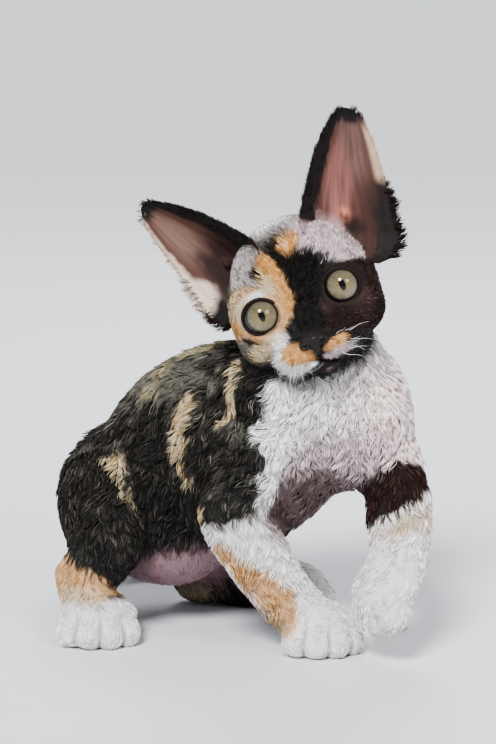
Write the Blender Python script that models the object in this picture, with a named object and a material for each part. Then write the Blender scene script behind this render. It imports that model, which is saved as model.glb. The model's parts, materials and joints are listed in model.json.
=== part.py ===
"""A devon rex kitten, life size, half crouched with one forepaw lifted and the head tilted.

The kitten faces +X, its left side is +Y and the floor is z = 0. Sizes below are millimetres.
Flesh is built from rounded masses and limbs that are fused into one skin, then parted into
named nodes by narrow gaps. The head has its own frame: origin midway between the eyeballs,
x out of the face, y to the kitten's left, z up.
"""

import math
import random

import bmesh
import bpy
from mathutils import Matrix, Vector
from mathutils.bvhtree import BVHTree

MM = 0.001
GAP = 0.3

# Triangles of the head, of the body before and after its clumps, and of the neck's hollow.
HEAD_TRIANGLES = 2700
SKIN_TRIANGLES = 2900
COAT_TRIANGLES = 5900
HEAD_HOLLOW_TRIANGLES = 900

# Where the middle of the model's box is, so that the origin ends up under it.
BOX_MIDDLE = (-12.9, -2.9)

# The trunk, rump to breast: centre x, y, z, then half width and half height.
TRUNK = [
    (-72, 0, 60, 24, 26),
    (-52, 0, 64, 34, 37),
    (-26, 0, 74, 36, 46),
    (0, 0, 85, 35, 45),
    (26, 3, 95, 32, 38),
    (44, 6, 97, 28, 31),
    (55, 7, 97, 20, 24),
]
NECK = [((32, 4, 106), 31), ((36, 3, 122), 28), ((30, -1, 142), 22)]

# Rounded masses over the trunk: centre, radii, and the direction of the first radius.
BODY_MASSES = {
    "shoulder_right": ((24, -19, 97), (21, 14, 31), (1, 0, 0.5)),
    "shoulder_left": ((49, 21, 103), (20, 16, 27), (1, 0, 0.3)),
    "breast": ((52, 6, 93), (17, 21, 24), (1, 0, 0)),
    "haunch_right": ((-58, -27, 53), (28, 18, 31), (1, -0.15, 0.25)),
    "haunch_left": ((-56, 25, 58), (28, 17, 31), (1, 0.15, 0.25)),
    "belly": ((-39, -8, 44), (35, 26, 28), (1, 0, 0.15)),
}

# Each leg is a chain of joints.
FORE_RIGHT = {"shoulder": (28, -19, 92), "elbow": (16, -33, 61), "wrist": (29, -11, 22), "paw": (39, -2, 10)}
FORE_LEFT = {"shoulder": (50, 20, 95), "elbow": (68, 15, 68), "wrist": (75, 6, 42), "paw": (72, 1, 32)}
HIND_RIGHT = {"hip": (-60, -20, 68), "knee": (-38, -43, 42), "hock": (-59, -43, 23), "paw": (-43, -49, 10)}
HIND_LEFT = {"hip": (-60, 20, 66), "knee": (-20, 42, 44), "hock": (-46, 21, 12), "paw": (-9, 41, 10)}

# Each length of a leg: sideways and upright radii at its start, middle and end.
UPPER_ARM = [(17, 19), (15.5, 16.5), (13.5, 14)]
FOREARM = [(14.5, 15), (14.5, 14.5), (13, 13)]
THIGH = [(18, 22), (16, 20), (13, 16)]
SHANK = [(13, 15), (12.5, 14.5), (12, 12)]
PASTERN = [(12, 12), (12.2, 11.5), (12.5, 10)]

# What of the body belongs to each node: ellipsoids round the upper limbs and the left foot,
# and cylinders round the rest, from a flat face with a radius and a length past the end.
THIGH_PART = {"right": ((-46, -40, 46), (42, 22, 40)), "left": ((-44, 39, 42), (42, 22, 38))}
UPPER_ARM_PART = (33, 22, 22)
LEFT_FOOT_PART = ((-28, 31, 6), (50, 20, 20))
RIGHT_FOOT_PART = (24, 26)
FORE_PAW_PART = (26, 26)
FOREARM_PART = (19, 8)
NECK_PART = ((31, 2, 121), (46, -7, 145.3), 36, 24)
TAIL_PART = (130, 200)

# A paw: half length, half width and half height of its body, and its toes.
PAW = (17.5, 16.8, 11)
TOE_RADIUS = 6.6
TOE_SPREAD = (-11.6, -4.1, 4.1, 11.6)
TOE_REACH = (9.2, 13.0, 13.0, 9.2)
PAW_TOWARD = {
    "fore_right": (0.78, -0.62, 0),
    "fore_left": (-0.3, -0.55, -0.75),
    "hind_right": (0.7, -0.72, 0),
    "hind_left": (0.85, 0.52, 0),
}

# How finely the masses are fused, and how often the creases are smoothed.
CORE_FUSE = {"voxel": 1.8, "smoothing": 9}
PAWS_FUSE = {"voxel": 1.2, "smoothing": 3}
SKULL_FUSE = {"voxel": 1.8, "smoothing": 14}
FACE_FUSE = {"voxel": 0.9, "smoothing": 7}
NOSE_FUSE = {"voxel": 0.8, "smoothing": 2}

FLOOR = ((0, 0, -50), (300, 300, 50))

# The tail runs down behind the rump and along the floor on the left side.
TAIL = [
    ((-81, 1, 69), 10),
    ((-98, 6, 57), 8),
    ((-107, 18, 34), 7),
    ((-103, 34, 14), 6.6),
    ((-86, 48, 6), 6.2),
    ((-60, 57, 5.3), 5.6),
    ((-36, 61, 4.5), 4.8),
]
TAIL_CUTS = {"middle": ((-107, 21, 29), (-106, 24.5, 24)), "tip": ((-86, 48, 7), (-81, 50.3, 7))}

# The curly coat lies in rounded clumps over a core that is sunk below the outline. Each clump
# is an arch of angles, carried through rings: share of the length, width and height.
COAT_SINK = 2.0
CLUMP_LENGTH = 24.0
CLUMP_HALF_WIDTH = 8.2
CLUMP_HEIGHT = 2.9
CLUMP_WAVE = 2.6
CLUMP_SPACING = (18.0, 12.5)
CLUMP_TRIES = 6000
COAT_SEED = 15
CLUMP_RINGS = ((0.04, 0.55, 0.1), (0.3, 0.95, 0.9), (0.6, 1.0, 1.0), (0.88, 0.6, 0.75))
CLUMP_ROOT = 1.2
CLUMP_ARCH = (180, 122, 58, 0)

# Lines that the coat lies along, each from where the hair points away to where it points.
COAT_LINES = [
    ((56, 4, 104), (-80, 0, 66)),
    ((34, 0, 146), (34, 5, 104)),
    ((58, -6, 128), (62, 4, 70)),
    ((32, -26, 96), (18, -38, 62)),
    ((54, 28, 98), (70, 20, 70)),
    ((-62, -30, 74), (-34, -48, 34)),
    ((-62, 30, 72), (-32, 46, 34)),
]
COAT_DROP = 0.3

# Where the hair is short and lies flat: the limbs below elbow and knee, then the bare belly.
SHORT_LIMBS = [
    ((14, -35, 55), (38, -2, 9), 24),
    ((69, 15, 64), (72, 1, 32), 21),
    ((-36, -43, 30), (-62, -44, 18), 20),
    ((-18, 42, 30), (-50, 22, 10), 22),
    ((-60, -44, 16), (-35, -57, 5), 22),
    ((-46, 21, 8), (0, 46, 5), 24),
]
BELLY = ((-20, -3, 28), (52, 30, 18))

# The head's place and how it is turned: degrees to its left, nose up, and top to its right.
HEAD_PLACE = (42.8, -19.6, 150.7)
HEAD_TURN = -56.0
HEAD_LIFT = 4.0
HEAD_TILT = 22.0

EYE_SPACING = 17.4
EYE_RADIUS = 8.3
LID_OPENING = (7.3, 6.9)
LID_THICKNESS = 1.15

# The head's masses in its own frame: centre, then radii. A mass off the middle is made twice.
SKULL_MASSES = {
    "cranium": ((-21, 0, 7.6), (27, 29, 28.2)),
    "occiput": ((-30, 0, -2), (19, 26, 23)),
    "temple": ((-17, 17, -1), (21, 16.5, 16.5)),
    "ear_mound": ((-26, 22, 7), (12, 13, 15)),
    "cheek": ((-12, 17.5, -10), (19, 15, 14)),
    "jaw": ((-12, 0, -15), (24, 24, 16.5)),
    "jowl": ((-1, 9, -18), (15.5, 12, 11)),
    "orbit": ((-3.6, 17.2, -0.3), (10, 13.4, 13.4)),
}
FACE_MASSES = {
    "muzzle": ((7, 0, -17), (12, 11, 9)),
    "snout": ((4, 4.5, -9), (9, 7.5, 9)),
    "whisker_pad": ((11.6, 7.4, -19.4), (8.6, 8.6, 7)),
    "chin": ((9, 0, -26.8), (8.4, 7.4, 5.2)),
}
BRIDGE = [((-5, 0, 7), 9), ((3, 0, -3.5), 7.4), ((10, 0, -10.5), 6.2), ((16, 0, -14.6), 4.8)]
NOSE = ((18.9, 0, -15.6), (4.4, 6.0, 3.6))
NOSTRIL = ((22.0, 2.9, -16.3), (2.4, 1.3, 0.9))

# The line of the mouth on the left half, as directions from a point inside the muzzle.
MOUTH_HEART = (4, 0, -24)
MOUTH_LINE = [(20, 0, 4.4), (20, 0, 0.5), (19, 1.6, -1.8), (16, 5.4, -3.4), (12, 9, -3.4), (7, 12, -1.6)]
MOUTH_GROOVE = 0.55

# Each ear in the head's frame, mirrored for the right one: the ends of its base and its tip.
EAR_LEFT = {"inner": (-4, 11, 31), "outer": (-15, 46, 9), "tip": (-11, 44, 66.5), "flare": (0.6, 0.4)}
EAR_RIGHT = {"inner": (-4, 10, 31), "outer": (-15, 38, 5.5), "tip": (-11, 47, 60), "flare": (0.62, 0.5)}
EAR_CUP = 14.0
EAR_WALL = 1.7

# Finishes: colour and roughness, then which finish each node has.
FINISHES = {
    "coat_dark": ((0.035, 0.029, 0.027), 0.85),
    "coat_brown": ((0.09, 0.055, 0.04), 0.85),
    "coat_white": ((0.83, 0.79, 0.76), 0.85),
    "coat_cream": ((0.66, 0.47, 0.29), 0.85),
    "coat_mixed": ((0.3, 0.21, 0.14), 0.85),
    "ear_skin": ((0.3, 0.17, 0.14), 0.7),
    "eye": ((0.4, 0.4, 0.22), 0.12),
}
NODE_FINISHES = {
    "head": "coat_mixed",
    "ear_left": "ear_skin",
    "ear_right": "ear_skin",
    "eye_left": "eye",
    "eye_right": "eye",
    "neck": "coat_white",
    "upper_arm_left": "coat_brown",
    "forearm_left": "coat_white",
    "forearm_right": "coat_white",
    "fore_paw_left": "coat_white",
    "fore_paw_right": "coat_white",
    "hind_foot_right": "coat_cream",
    "hind_foot_left": "coat_white",
}


def vec(point):
    """A point in millimetres as a Vector."""
    return Vector(point)


def mirrored(point):
    """The point on the other side of the middle plane."""
    return (point[0], -point[1], point[2])


def object_from(bm, name):
    """A new object from a bmesh in millimetres, linked to the scene."""
    bm.normal_update()
    bmesh.ops.recalc_face_normals(bm, faces=bm.faces)
    if bm.calc_volume(signed=True) < 0:
        bmesh.ops.reverse_faces(bm, faces=bm.faces)
    mesh = bpy.data.meshes.new(name)
    bm.to_mesh(mesh)
    bm.free()
    made = bpy.data.objects.new(name, mesh)
    bpy.context.scene.collection.objects.link(made)
    return made


def smooth_path(points, radii, steps):
    """Points and radii along a Catmull-Rom curve through the given ones."""
    ends = [points[0] * 2 - points[1], *points, points[-1] * 2 - points[-2]]
    sizes = [radii[0], *radii, radii[-1]]
    path, widths = [], []
    for i in range(len(points) - 1):
        a, b, c, d = ends[i : i + 4]
        ra, rb, rc, rd = sizes[i : i + 4]
        for k in range(steps):
            t = k / steps
            weights = (
                -0.5 * t + t * t - 0.5 * t**3,
                1 - 2.5 * t * t + 1.5 * t**3,
                0.5 * t + 2 * t * t - 1.5 * t**3,
                -0.5 * t * t + 0.5 * t**3,
            )
            path.append(sum((w * p for w, p in zip(weights, (a, b, c, d))), Vector()))
            widths.append(sum((w * Vector(r) for w, r in zip(weights, (ra, rb, rc, rd))), Vector((0, 0))))
    return path + [points[-1]], widths + [Vector(radii[-1])]


def tube(name, points, radii, sides=20, steps=5, up=(0, 0, 1)):
    """A closed limb through the points, with rounded ends. A radius is (sideways, upwards)."""
    path, widths = smooth_path([vec(p) for p in points], [tuple(r) for r in radii], steps)
    tangents = []
    for i in range(len(path)):
        tangents.append((path[min(i + 1, len(path) - 1)] - path[max(i - 1, 0)]).normalized())
    rings = []
    round_off = [(math.sin(a), math.cos(a)) for a in map(math.radians, (62, 35))]
    for out, keep in round_off:
        rings.append((path[0] - tangents[0] * out * min(widths[0]), tangents[0], widths[0] * keep))
    rings += list(zip(path, tangents, widths))
    for out, keep in reversed(round_off):
        rings.append((path[-1] + tangents[-1] * out * min(widths[-1]), tangents[-1], widths[-1] * keep))
    bm = bmesh.new()
    loops = []
    for centre, along, width in rings:
        side = Vector(up).cross(along).normalized()
        rise = along.cross(side).normalized()
        turn = [2 * math.pi * k / sides for k in range(sides)]
        section = [side * width[0] * math.cos(a) + rise * width[1] * math.sin(a) for a in turn]
        loops.append([bm.verts.new(centre + offset) for offset in section])
    for low, high in zip(loops, loops[1:]):
        for k in range(sides):
            n = (k + 1) % sides
            bm.faces.new((low[k], low[n], high[n], high[k]))
    for loop, centre, out in (
        (loops[0], path[0] - tangents[0] * min(widths[0]), -1),
        (loops[-1], path[-1] + tangents[-1] * min(widths[-1]), 1),
    ):
        pole = bm.verts.new(centre)
        for k in range(sides):
            bm.faces.new((loop[k], loop[(k + 1) % sides], pole))
    return object_from(bm, name)


def ball(name, centre, radii, turn=Matrix(), segments=24):
    """An ellipsoid. turn is the rotation of its own axes."""
    bm = bmesh.new()
    bmesh.ops.create_uvsphere(bm, u_segments=segments, v_segments=segments * 2 // 3, radius=1)
    place = Matrix.Translation(vec(centre)) @ turn.to_4x4() @ Matrix.Diagonal((*radii, 1))
    bm.transform(place)
    return object_from(bm, name)


def box(name, centre, halves, turn=Matrix()):
    """A block with the given half sizes."""
    bm = bmesh.new()
    bmesh.ops.create_cube(bm, size=2)
    bm.transform(Matrix.Translation(vec(centre)) @ turn.to_4x4() @ Matrix.Diagonal((*halves, 1)))
    return object_from(bm, name)


def facing(direction, up=(0.05, 0.02, 1)):
    """A rotation that carries x onto the direction, and z as near up as it can."""
    x = Vector(direction).normalized()
    y = Vector(up).cross(x).normalized()
    z = x.cross(y)
    return Matrix((x, y, z)).transposed()


def evaluated(obj):
    """Applies the object's modifiers to its mesh."""
    bpy.context.view_layer.update()
    graph = bpy.context.evaluated_depsgraph_get()
    mesh = bpy.data.meshes.new_from_object(obj.evaluated_get(graph))
    obj.modifiers.clear()
    obj.data = mesh
    return obj


def joined(name, objects):
    """One object that holds the meshes of several."""
    bm = bmesh.new()
    for obj in objects:
        obj.data.transform(obj.matrix_basis)
        bm.from_mesh(obj.data)
        bpy.data.objects.remove(obj)
    return object_from(bm, name)


def fused(name, objects, voxel, smoothing):
    """Overlapping closed shapes as one skin, with the creases between them smoothed."""
    whole = joined(name, objects)
    remesh = whole.modifiers.new("fuse", "REMESH")
    remesh.mode = "VOXEL"
    remesh.voxel_size = voxel
    if smoothing:
        soften = whole.modifiers.new("soften", "SMOOTH")
        soften.factor = 0.5
        soften.iterations = smoothing
    return evaluated(whole)


def thinned(obj, triangles):
    """The same skin with about this many triangles."""
    bm = bmesh.new()
    bm.from_mesh(obj.data)
    bmesh.ops.triangulate(bm, faces=bm.faces)
    count = len(bm.faces)
    bm.to_mesh(obj.data)
    bm.free()
    thin = obj.modifiers.new("thin", "DECIMATE")
    thin.ratio = min(1.0, triangles / count)
    return evaluated(obj)


def boolean(obj, others, operation, folded=False):
    """Joins, cuts or keeps by other closed objects, which are then removed.

    folded is for an object whose own surface crosses itself somewhere.
    """
    group = bpy.data.collections.new("tools")
    bpy.context.scene.collection.children.link(group)
    for other in others:
        for owner in list(other.users_collection):
            owner.objects.unlink(other)
        group.objects.link(other)
    work = obj.modifiers.new("boolean", "BOOLEAN")
    work.operation = operation
    work.solver = "EXACT" if folded else "MANIFOLD"
    work.use_self = folded
    work.operand_type = "COLLECTION"
    work.collection = group
    evaluated(obj)
    for other in list(group.objects):
        bpy.data.objects.remove(other)
    bpy.data.collections.remove(group)
    return obj


def copy_of(obj, name):
    """A separate copy of an object."""
    made = obj.copy()
    made.data = obj.data.copy()
    made.name = name
    bpy.context.scene.collection.objects.link(made)
    return made


def largest_piece(obj):
    """Keeps only the largest closed surface of the object."""
    bm = bmesh.new()
    bm.from_mesh(obj.data)
    bmesh.ops.triangulate(bm, faces=bm.faces)
    bm.verts.ensure_lookup_table()
    seen, best = set(), []
    for start in bm.verts:
        if start in seen:
            continue
        piece, stack = [], [start]
        seen.add(start)
        while stack:
            vert = stack.pop()
            piece.append(vert)
            for edge in vert.link_edges:
                other = edge.other_vert(vert)
                if other not in seen:
                    seen.add(other)
                    stack.append(other)
        if len(piece) > len(best):
            best = piece
    kept = set(best)
    bmesh.ops.delete(bm, geom=[v for v in bm.verts if v not in kept], context="VERTS")
    bm.to_mesh(obj.data)
    bm.free()
    return obj


def part_off(whole, name, region):
    """Moves what lies inside a region to a new node, and leaves a gap around it.

    region makes the closed shape of the region, grown by what it is given.
    """
    node = boolean(copy_of(whole, name), [region(0.0)], "INTERSECT")
    boolean(whole, [region(GAP)], "DIFFERENCE")
    return largest_piece(node)


def ball_region(centre, radii, turn=Matrix()):
    """A region with the shape of an ellipsoid."""
    return lambda grow: ball("region", centre, [r + grow for r in radii], turn, 12)


def limb_region(start, end, radius, past):
    """A region round a limb, from a flat face at start to a little past its end."""
    turn = facing(vec(end) - vec(start)) @ Matrix.Rotation(math.pi / 2, 3, "Y")
    length = (vec(end) - vec(start)).length + past

    def shape(grow):
        bm = bmesh.new()
        wide, deep = radius + grow, length + 2 * grow
        bmesh.ops.create_cone(bm, cap_ends=True, segments=20, radius1=wide, radius2=wide, depth=deep)
        bm.transform(turn.to_4x4())
        middle = (vec(end) - vec(start)).normalized() * length / 2
        bm.transform(Matrix.Translation(vec(start) + middle))
        return object_from(bm, "region")

    return shape


def between(a, b, share):
    """The point this far from a to b."""
    return vec(a).lerp(vec(b), share)


def head_frame():
    """The matrix that carries the head's frame into the kitten's."""
    turn = (
        Matrix.Rotation(math.radians(HEAD_TURN), 4, "Z")
        @ Matrix.Rotation(math.radians(-HEAD_LIFT), 4, "Y")
        @ Matrix.Rotation(math.radians(HEAD_TILT), 4, "X")
    )
    return Matrix.Translation(vec(HEAD_PLACE)) @ turn


def trunk():
    """The masses of the torso, shoulders and haunches."""
    points = [s[:3] for s in TRUNK]
    radii = [s[3:] for s in TRUNK]
    made = [tube("trunk", points, radii, sides=28)]
    for name, (centre, sizes, forward) in BODY_MASSES.items():
        made.append(ball(name, centre, sizes, facing(forward)))
    made.append(tube("neck", [p for p, r in NECK], [(r, r) for p, r in NECK], sides=24, up=(1, 0, 0)))
    return made


def length_of_limb(name, start, end, radii, up=(0, 0, 1)):
    """One length of a limb between two joints."""
    return tube(name, [start, between(start, end, 0.5), end], radii, up=up)


def fore_limb(joints):
    """Upper arm and forearm as far as the wrist."""
    upper = length_of_limb("upper_arm", joints["shoulder"], joints["elbow"], UPPER_ARM, up=(1, 0, 0))
    lower = length_of_limb("forearm", joints["elbow"], joints["wrist"], FOREARM, up=(0, 1, 0))
    return [upper, lower]


def hind_limb(joints):
    """Thigh and shank as far as the hock."""
    thigh = length_of_limb("thigh", joints["hip"], joints["knee"], THIGH)
    shank = length_of_limb("shank", joints["knee"], joints["hock"], SHANK)
    return [thigh, shank]


def paw(root, centre, toward):
    """The foot from its root joint to four toes, pointing along toward."""
    turn = facing(toward)
    place = vec(centre)
    toe_drop = TOE_RADIUS - PAW[2] - 0.4
    toe = (TOE_RADIUS * 1.25, TOE_RADIUS, TOE_RADIUS * 1.05)
    made = [ball("paw", place, PAW, turn)]
    made.append(length_of_limb("pastern", root, place, PASTERN, up=turn @ Vector((0, 1, 0))))
    for across, ahead in zip(TOE_SPREAD, TOE_REACH):
        made.append(ball("toe", place + turn @ Vector((ahead, across, toe_drop)), toe, turn, 16))
    return made


def body_skin():
    """Trunk, limbs and paws fused into one skin, coarse masses first and paws last."""
    masses = trunk()
    masses += fore_limb(FORE_RIGHT) + fore_limb(FORE_LEFT)
    masses += hind_limb(HIND_RIGHT) + hind_limb(HIND_LEFT)
    feet = [fused("core", masses, **CORE_FUSE)]
    feet += paw(FORE_RIGHT["wrist"], FORE_RIGHT["paw"], PAW_TOWARD["fore_right"])
    feet += paw(FORE_LEFT["wrist"], FORE_LEFT["paw"], PAW_TOWARD["fore_left"])
    feet += paw(HIND_RIGHT["hock"], HIND_RIGHT["paw"], PAW_TOWARD["hind_right"])
    feet += paw(HIND_LEFT["hock"], HIND_LEFT["paw"], PAW_TOWARD["hind_left"])
    return fused("body", feet, **PAWS_FUSE)


def from_line(point, start, end):
    """How far a point is from a line between two others."""
    along = vec(end) - vec(start)
    share = (point - vec(start)).dot(along) / along.length_squared
    return (point - between(start, end, min(1.0, max(0.0, share)))).length


def coat_share(point):
    """1 where the coat is curly, 0 where it is short, and between them near the edge."""
    share = 1.0
    for start, end, reach in SHORT_LIMBS:
        share = min(share, from_line(point, start, end) / reach - 1)
    centre, radii = BELLY
    apart = point - vec(centre)
    share = min(share, Vector([a / r for a, r in zip(apart, radii)]).length - 1)
    return min(1.0, max(0.0, share * 4))


def coat_lie(point, normal):
    """The direction along the skin that the coat points in."""
    lie = Vector((0, 0, -COAT_DROP))
    weights = [from_line(point, *line) ** -3 for line in COAT_LINES]
    for weight, (start, end) in zip(weights, COAT_LINES):
        lie += (vec(end) - vec(start)).normalized() * (weight / sum(weights))
    return (lie - normal * lie.dot(normal)).normalized()


def clear_of(apart, lie, side):
    """Whether a clump this far away leaves room for one more."""
    along, across = CLUMP_SPACING
    return apart.length > CLUMP_LENGTH or math.hypot(apart.dot(lie) / along, apart.dot(side) / across) > 1


def coat_roots(skin, rng):
    """Places set close and evenly over the curly coat: point, normal and lie of each."""
    faces = [f for f in skin.data.polygons if coat_share(f.center) > 0.5]
    sizes = [f.area for f in faces]
    roots = []
    for face in rng.choices(faces, sizes, k=CLUMP_TRIES):
        a, b, c = (skin.data.vertices[v].co for v in face.vertices[:3])
        u, v = sorted((rng.random(), rng.random()))
        point = a * u + b * (v - u) + c * (1 - v)
        lie = coat_lie(point, face.normal)
        side = face.normal.cross(lie)
        if all(clear_of(other[0] - point, lie, side) for other in roots):
            roots.append((point, face.normal.copy(), lie))
    return roots


def clump(tree, root, rng):
    """One rounded, tapered clump, bent in a wave along the skin and rooted in it."""
    point, normal, lie = root
    size = rng.uniform(0.85, 1.15)
    lie = Matrix.Rotation(math.radians(rng.uniform(-22, 22)), 3, normal) @ lie
    side = normal.cross(lie)
    wave = CLUMP_WAVE * rng.choice((-1, 1))
    bm = bmesh.new()
    loops, middles = [], []
    for share, width, height in (*CLUMP_RINGS, (1.0, 0.0, 0.3)):
        reach = (share - 0.5) * CLUMP_LENGTH * size
        spot = point + lie * reach + side * wave * math.sin(2 * math.pi * share)
        base, up = tree.find_nearest(spot)[:2]
        across = up.cross(lie).normalized()
        middles.append(base + up * CLUMP_HEIGHT * height)
        ring = []
        for angle in map(math.radians, CLUMP_ARCH):
            lift = CLUMP_HEIGHT * height * math.sin(angle) - CLUMP_ROOT * abs(math.cos(angle))
            out = CLUMP_HALF_WIDTH * size * width * math.cos(angle)
            ring.append(base + across * out + up * lift)
        loops.append(ring)
    loops = [[bm.verts.new(p) for p in ring] for ring in loops[:-1]]
    for low, high in zip(loops, loops[1:]):
        for k in range(len(low)):
            n = (k + 1) % len(low)
            bm.faces.new((low[k], low[n], high[n], high[k]))
    for loop, middle in ((loops[0], middles[0] - lie * 2), (loops[-1], middles[-1])):
        pole = bm.verts.new(middle)
        for k in range(len(loop)):
            bm.faces.new((loop[k], loop[(k + 1) % len(loop)], pole))
    return object_from(bm, "clump")


def sunk(skin):
    """Lowers the skin where the curly coat stands on it."""
    moves = [v.normal * (COAT_SINK * coat_share(v.co)) for v in skin.data.vertices]
    for vert, move in zip(skin.data.vertices, moves):
        vert.co -= move
    return skin


def with_coat(skin):
    """The skin with all its clumps fused to it."""
    rng = random.Random(COAT_SEED)
    tree = BVHTree.FromObject(skin, bpy.context.evaluated_depsgraph_get())
    clumps = [clump(tree, root, rng) for root in coat_roots(skin, rng)]
    return boolean(skin, clumps, "UNION")


def paired_masses(masses):
    """A ball for each mass, and a second one across the middle plane where it stands off it."""
    made = []
    for name, (centre, radii) in masses.items():
        sides = (centre, mirrored(centre)) if centre[1] else (centre,)
        made += [ball(name, c, radii, segments=32) for c in sides]
    return made


def head_skin():
    """The head without ears, in its own frame: the skull, then the muzzle and chin, then the nose."""
    skull = fused("skull", paired_masses(SKULL_MASSES), **SKULL_FUSE)
    bridge = tube("bridge", [p for p, r in BRIDGE], [(r, r) for p, r in BRIDGE], sides=20, up=(0, 1, 0))
    face = fused("face", [skull, bridge] + paired_masses(FACE_MASSES), **FACE_FUSE)
    return fused("head", [face, ball("nose", *NOSE, segments=20)], **NOSE_FUSE)


def lid_ring(centre):
    """The rim of both lids, lying on the eyeball around its opening."""
    wide, high = LID_OPENING
    reach = EYE_RADIUS + 0.35
    outward = 1 if centre[1] > 0 else -1
    steps, sides = 24, 6
    bm = bmesh.new()
    loops = []
    for k in range(steps):
        a = 2 * math.pi * k / steps
        corner = 1 + 0.14 * max(0.0, -outward * math.cos(a)) ** 6
        y, z = wide * corner * math.cos(a), high * math.sin(a)
        x = math.sqrt(max(1.0, reach * reach - y * y - z * z))
        on_ball = Vector((x, y, z))
        out = on_ball.normalized()
        away = (Vector((0, y, z)) - out * out.dot(Vector((0, y, z)))).normalized()
        section = [2 * math.pi * j / sides for j in range(sides)]
        loops.append(
            [
                bm.verts.new(
                    vec(centre)
                    + on_ball
                    + away * (LID_THICKNESS * 1.3 * math.cos(s) + 0.6)
                    + out * LID_THICKNESS * math.sin(s)
                )
                for s in section
            ]
        )
    for i, loop in enumerate(loops):
        after = loops[(i + 1) % steps]
        for j in range(sides):
            n = (j + 1) % sides
            bm.faces.new((loop[j], loop[n], after[n], after[j]))
    return object_from(bm, "lid")


def mouth_groove(skin):
    """A thin cord along the lips that the line of the mouth is cut with."""
    tree = BVHTree.FromObject(skin, bpy.context.evaluated_depsgraph_get())
    heart = vec(MOUTH_HEART)
    right = [mirrored(p) for p in reversed(MOUTH_LINE[2:])]
    made = []
    for line in (MOUTH_LINE[:2], right + [MOUTH_LINE[1]] + MOUTH_LINE[2:]):
        points = []
        for direction in line:
            hit = tree.ray_cast(heart, vec(direction).normalized())[0]
            points.append(hit)
        sizes = [(MOUTH_GROOVE, MOUTH_GROOVE * 1.6)] * len(points)
        made.append(tube("groove", points, sizes, sides=8, steps=3, up=(0, 0, 1)))
    return made


def head_details(skin):
    """Lids, sockets, nostrils and the line of the mouth, in the head's own frame."""
    eyes = [(0, EYE_SPACING, 0), (0, -EYE_SPACING, 0)]
    boolean(skin, [lid_ring(c) for c in eyes], "UNION")
    cutters = [ball("socket", c, [EYE_RADIUS + GAP] * 3, segments=20) for c in eyes]
    boolean(skin, cutters, "DIFFERENCE")
    slant = Matrix.Rotation(math.radians(25), 3, "Z")
    holes = [
        ball("nostril", NOSTRIL[0], NOSTRIL[1], slant, 12),
        ball("nostril", mirrored(NOSTRIL[0]), NOSTRIL[1], slant.inverted(), 12),
    ]
    boolean(skin, holes, "DIFFERENCE")
    for groove in mouth_groove(skin):
        boolean(skin, [groove], "DIFFERENCE")
    return largest_piece(skin)


def ear(name, side, points):
    """The cup of one ear as a curved wall, in the head's own frame. side is 1 for the left."""
    inner, outer, tip = vec(points["inner"]), vec(points["outer"]), vec(points["tip"])
    root = (inner + outer) / 2
    across = (outer - inner) / 2
    half = across.length
    across.normalize()
    axis = tip - root
    back = across.cross(axis).normalized()
    if back.x > 0:
        back = -back
    rows, columns = 12, 8
    bm = bmesh.new()
    walls = []
    for wall in (0.0, EAR_WALL):
        grid = []
        for i in range(rows + 1):
            u = min(-0.26 + 1.26 * i / rows, 0.985)
            rise = max(u, 0.0)
            narrow = half * math.sqrt(1 - (min(u, 0.0) / 0.3) ** 2)
            deep = EAR_CUP * (1 - rise) ** 0.85 + 1.2
            row = []
            for j in range(columns + 1):
                v = -1 + 2 * j / columns
                shape = math.cos(math.pi / 2 * v)
                thick = wall * (0.55 + 0.45 * shape)
                wide = narrow * (1 - rise) ** points["flare"][v > 0]
                spot = root + axis * u + across * wide * v
                spot += back * (deep * shape - thick + 3.0 * math.sin(math.pi * rise) + 14 * min(u, 0.0))
                row.append(bm.verts.new((spot.x, spot.y * side, spot.z)))
            grid.append(row)
        walls.append(grid)
    for grid in walls:
        for low, high in zip(grid, grid[1:]):
            for j in range(columns):
                bm.faces.new((low[j], low[j + 1], high[j + 1], high[j]))
    a, b = walls
    for j in range(columns):
        for row in (0, rows):
            bm.faces.new((a[row][j], a[row][j + 1], b[row][j + 1], b[row][j]))
    for i in range(rows):
        for column in (0, columns):
            bm.faces.new((a[i][column], a[i + 1][column], b[i + 1][column], b[i][column]))
    return object_from(bm, name)


def grown(obj, by):
    """A copy of the object with its surface moved out."""
    copy = copy_of(obj, "grown")
    move = copy.modifiers.new("grow", "DISPLACE")
    move.strength = by
    move.mid_level = 0.0
    return evaluated(copy)


def whole_tail(grow):
    """The tail in one length, thicker all round by grow."""
    radii = [(radius + grow, radius + grow) for _, radius in TAIL]
    return tube("tail", [point for point, _ in TAIL], radii, sides=12, steps=3)


def material(node, finish):
    """The material of one node."""
    made = bpy.data.materials.new(node + "_finish")
    made.use_nodes = True
    shader = made.node_tree.nodes["Principled BSDF"]
    colour, roughness = FINISHES[finish]
    shader.inputs["Base Color"].default_value = (*colour, 1)
    shader.inputs["Roughness"].default_value = roughness
    shader.inputs["Metallic"].default_value = 0.0
    made.diffuse_color = (*colour, 1)
    return made


def finished(obj, name):
    """The node under its name, in metres, about the model's origin, with its material."""
    obj.name = name
    shift = Matrix.Translation(Vector((-BOX_MIDDLE[0], -BOX_MIDDLE[1], 0)))
    obj.data.transform(Matrix.Scale(MM, 4) @ shift @ obj.matrix_basis)
    obj.matrix_basis = Matrix()
    obj.data.materials.clear()
    obj.data.materials.append(material(name, NODE_FINISHES.get(name, "coat_dark")))
    obj.data.shade_smooth()
    obj.data.set_sharp_from_angle(angle=math.radians(50))
    return obj


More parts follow.
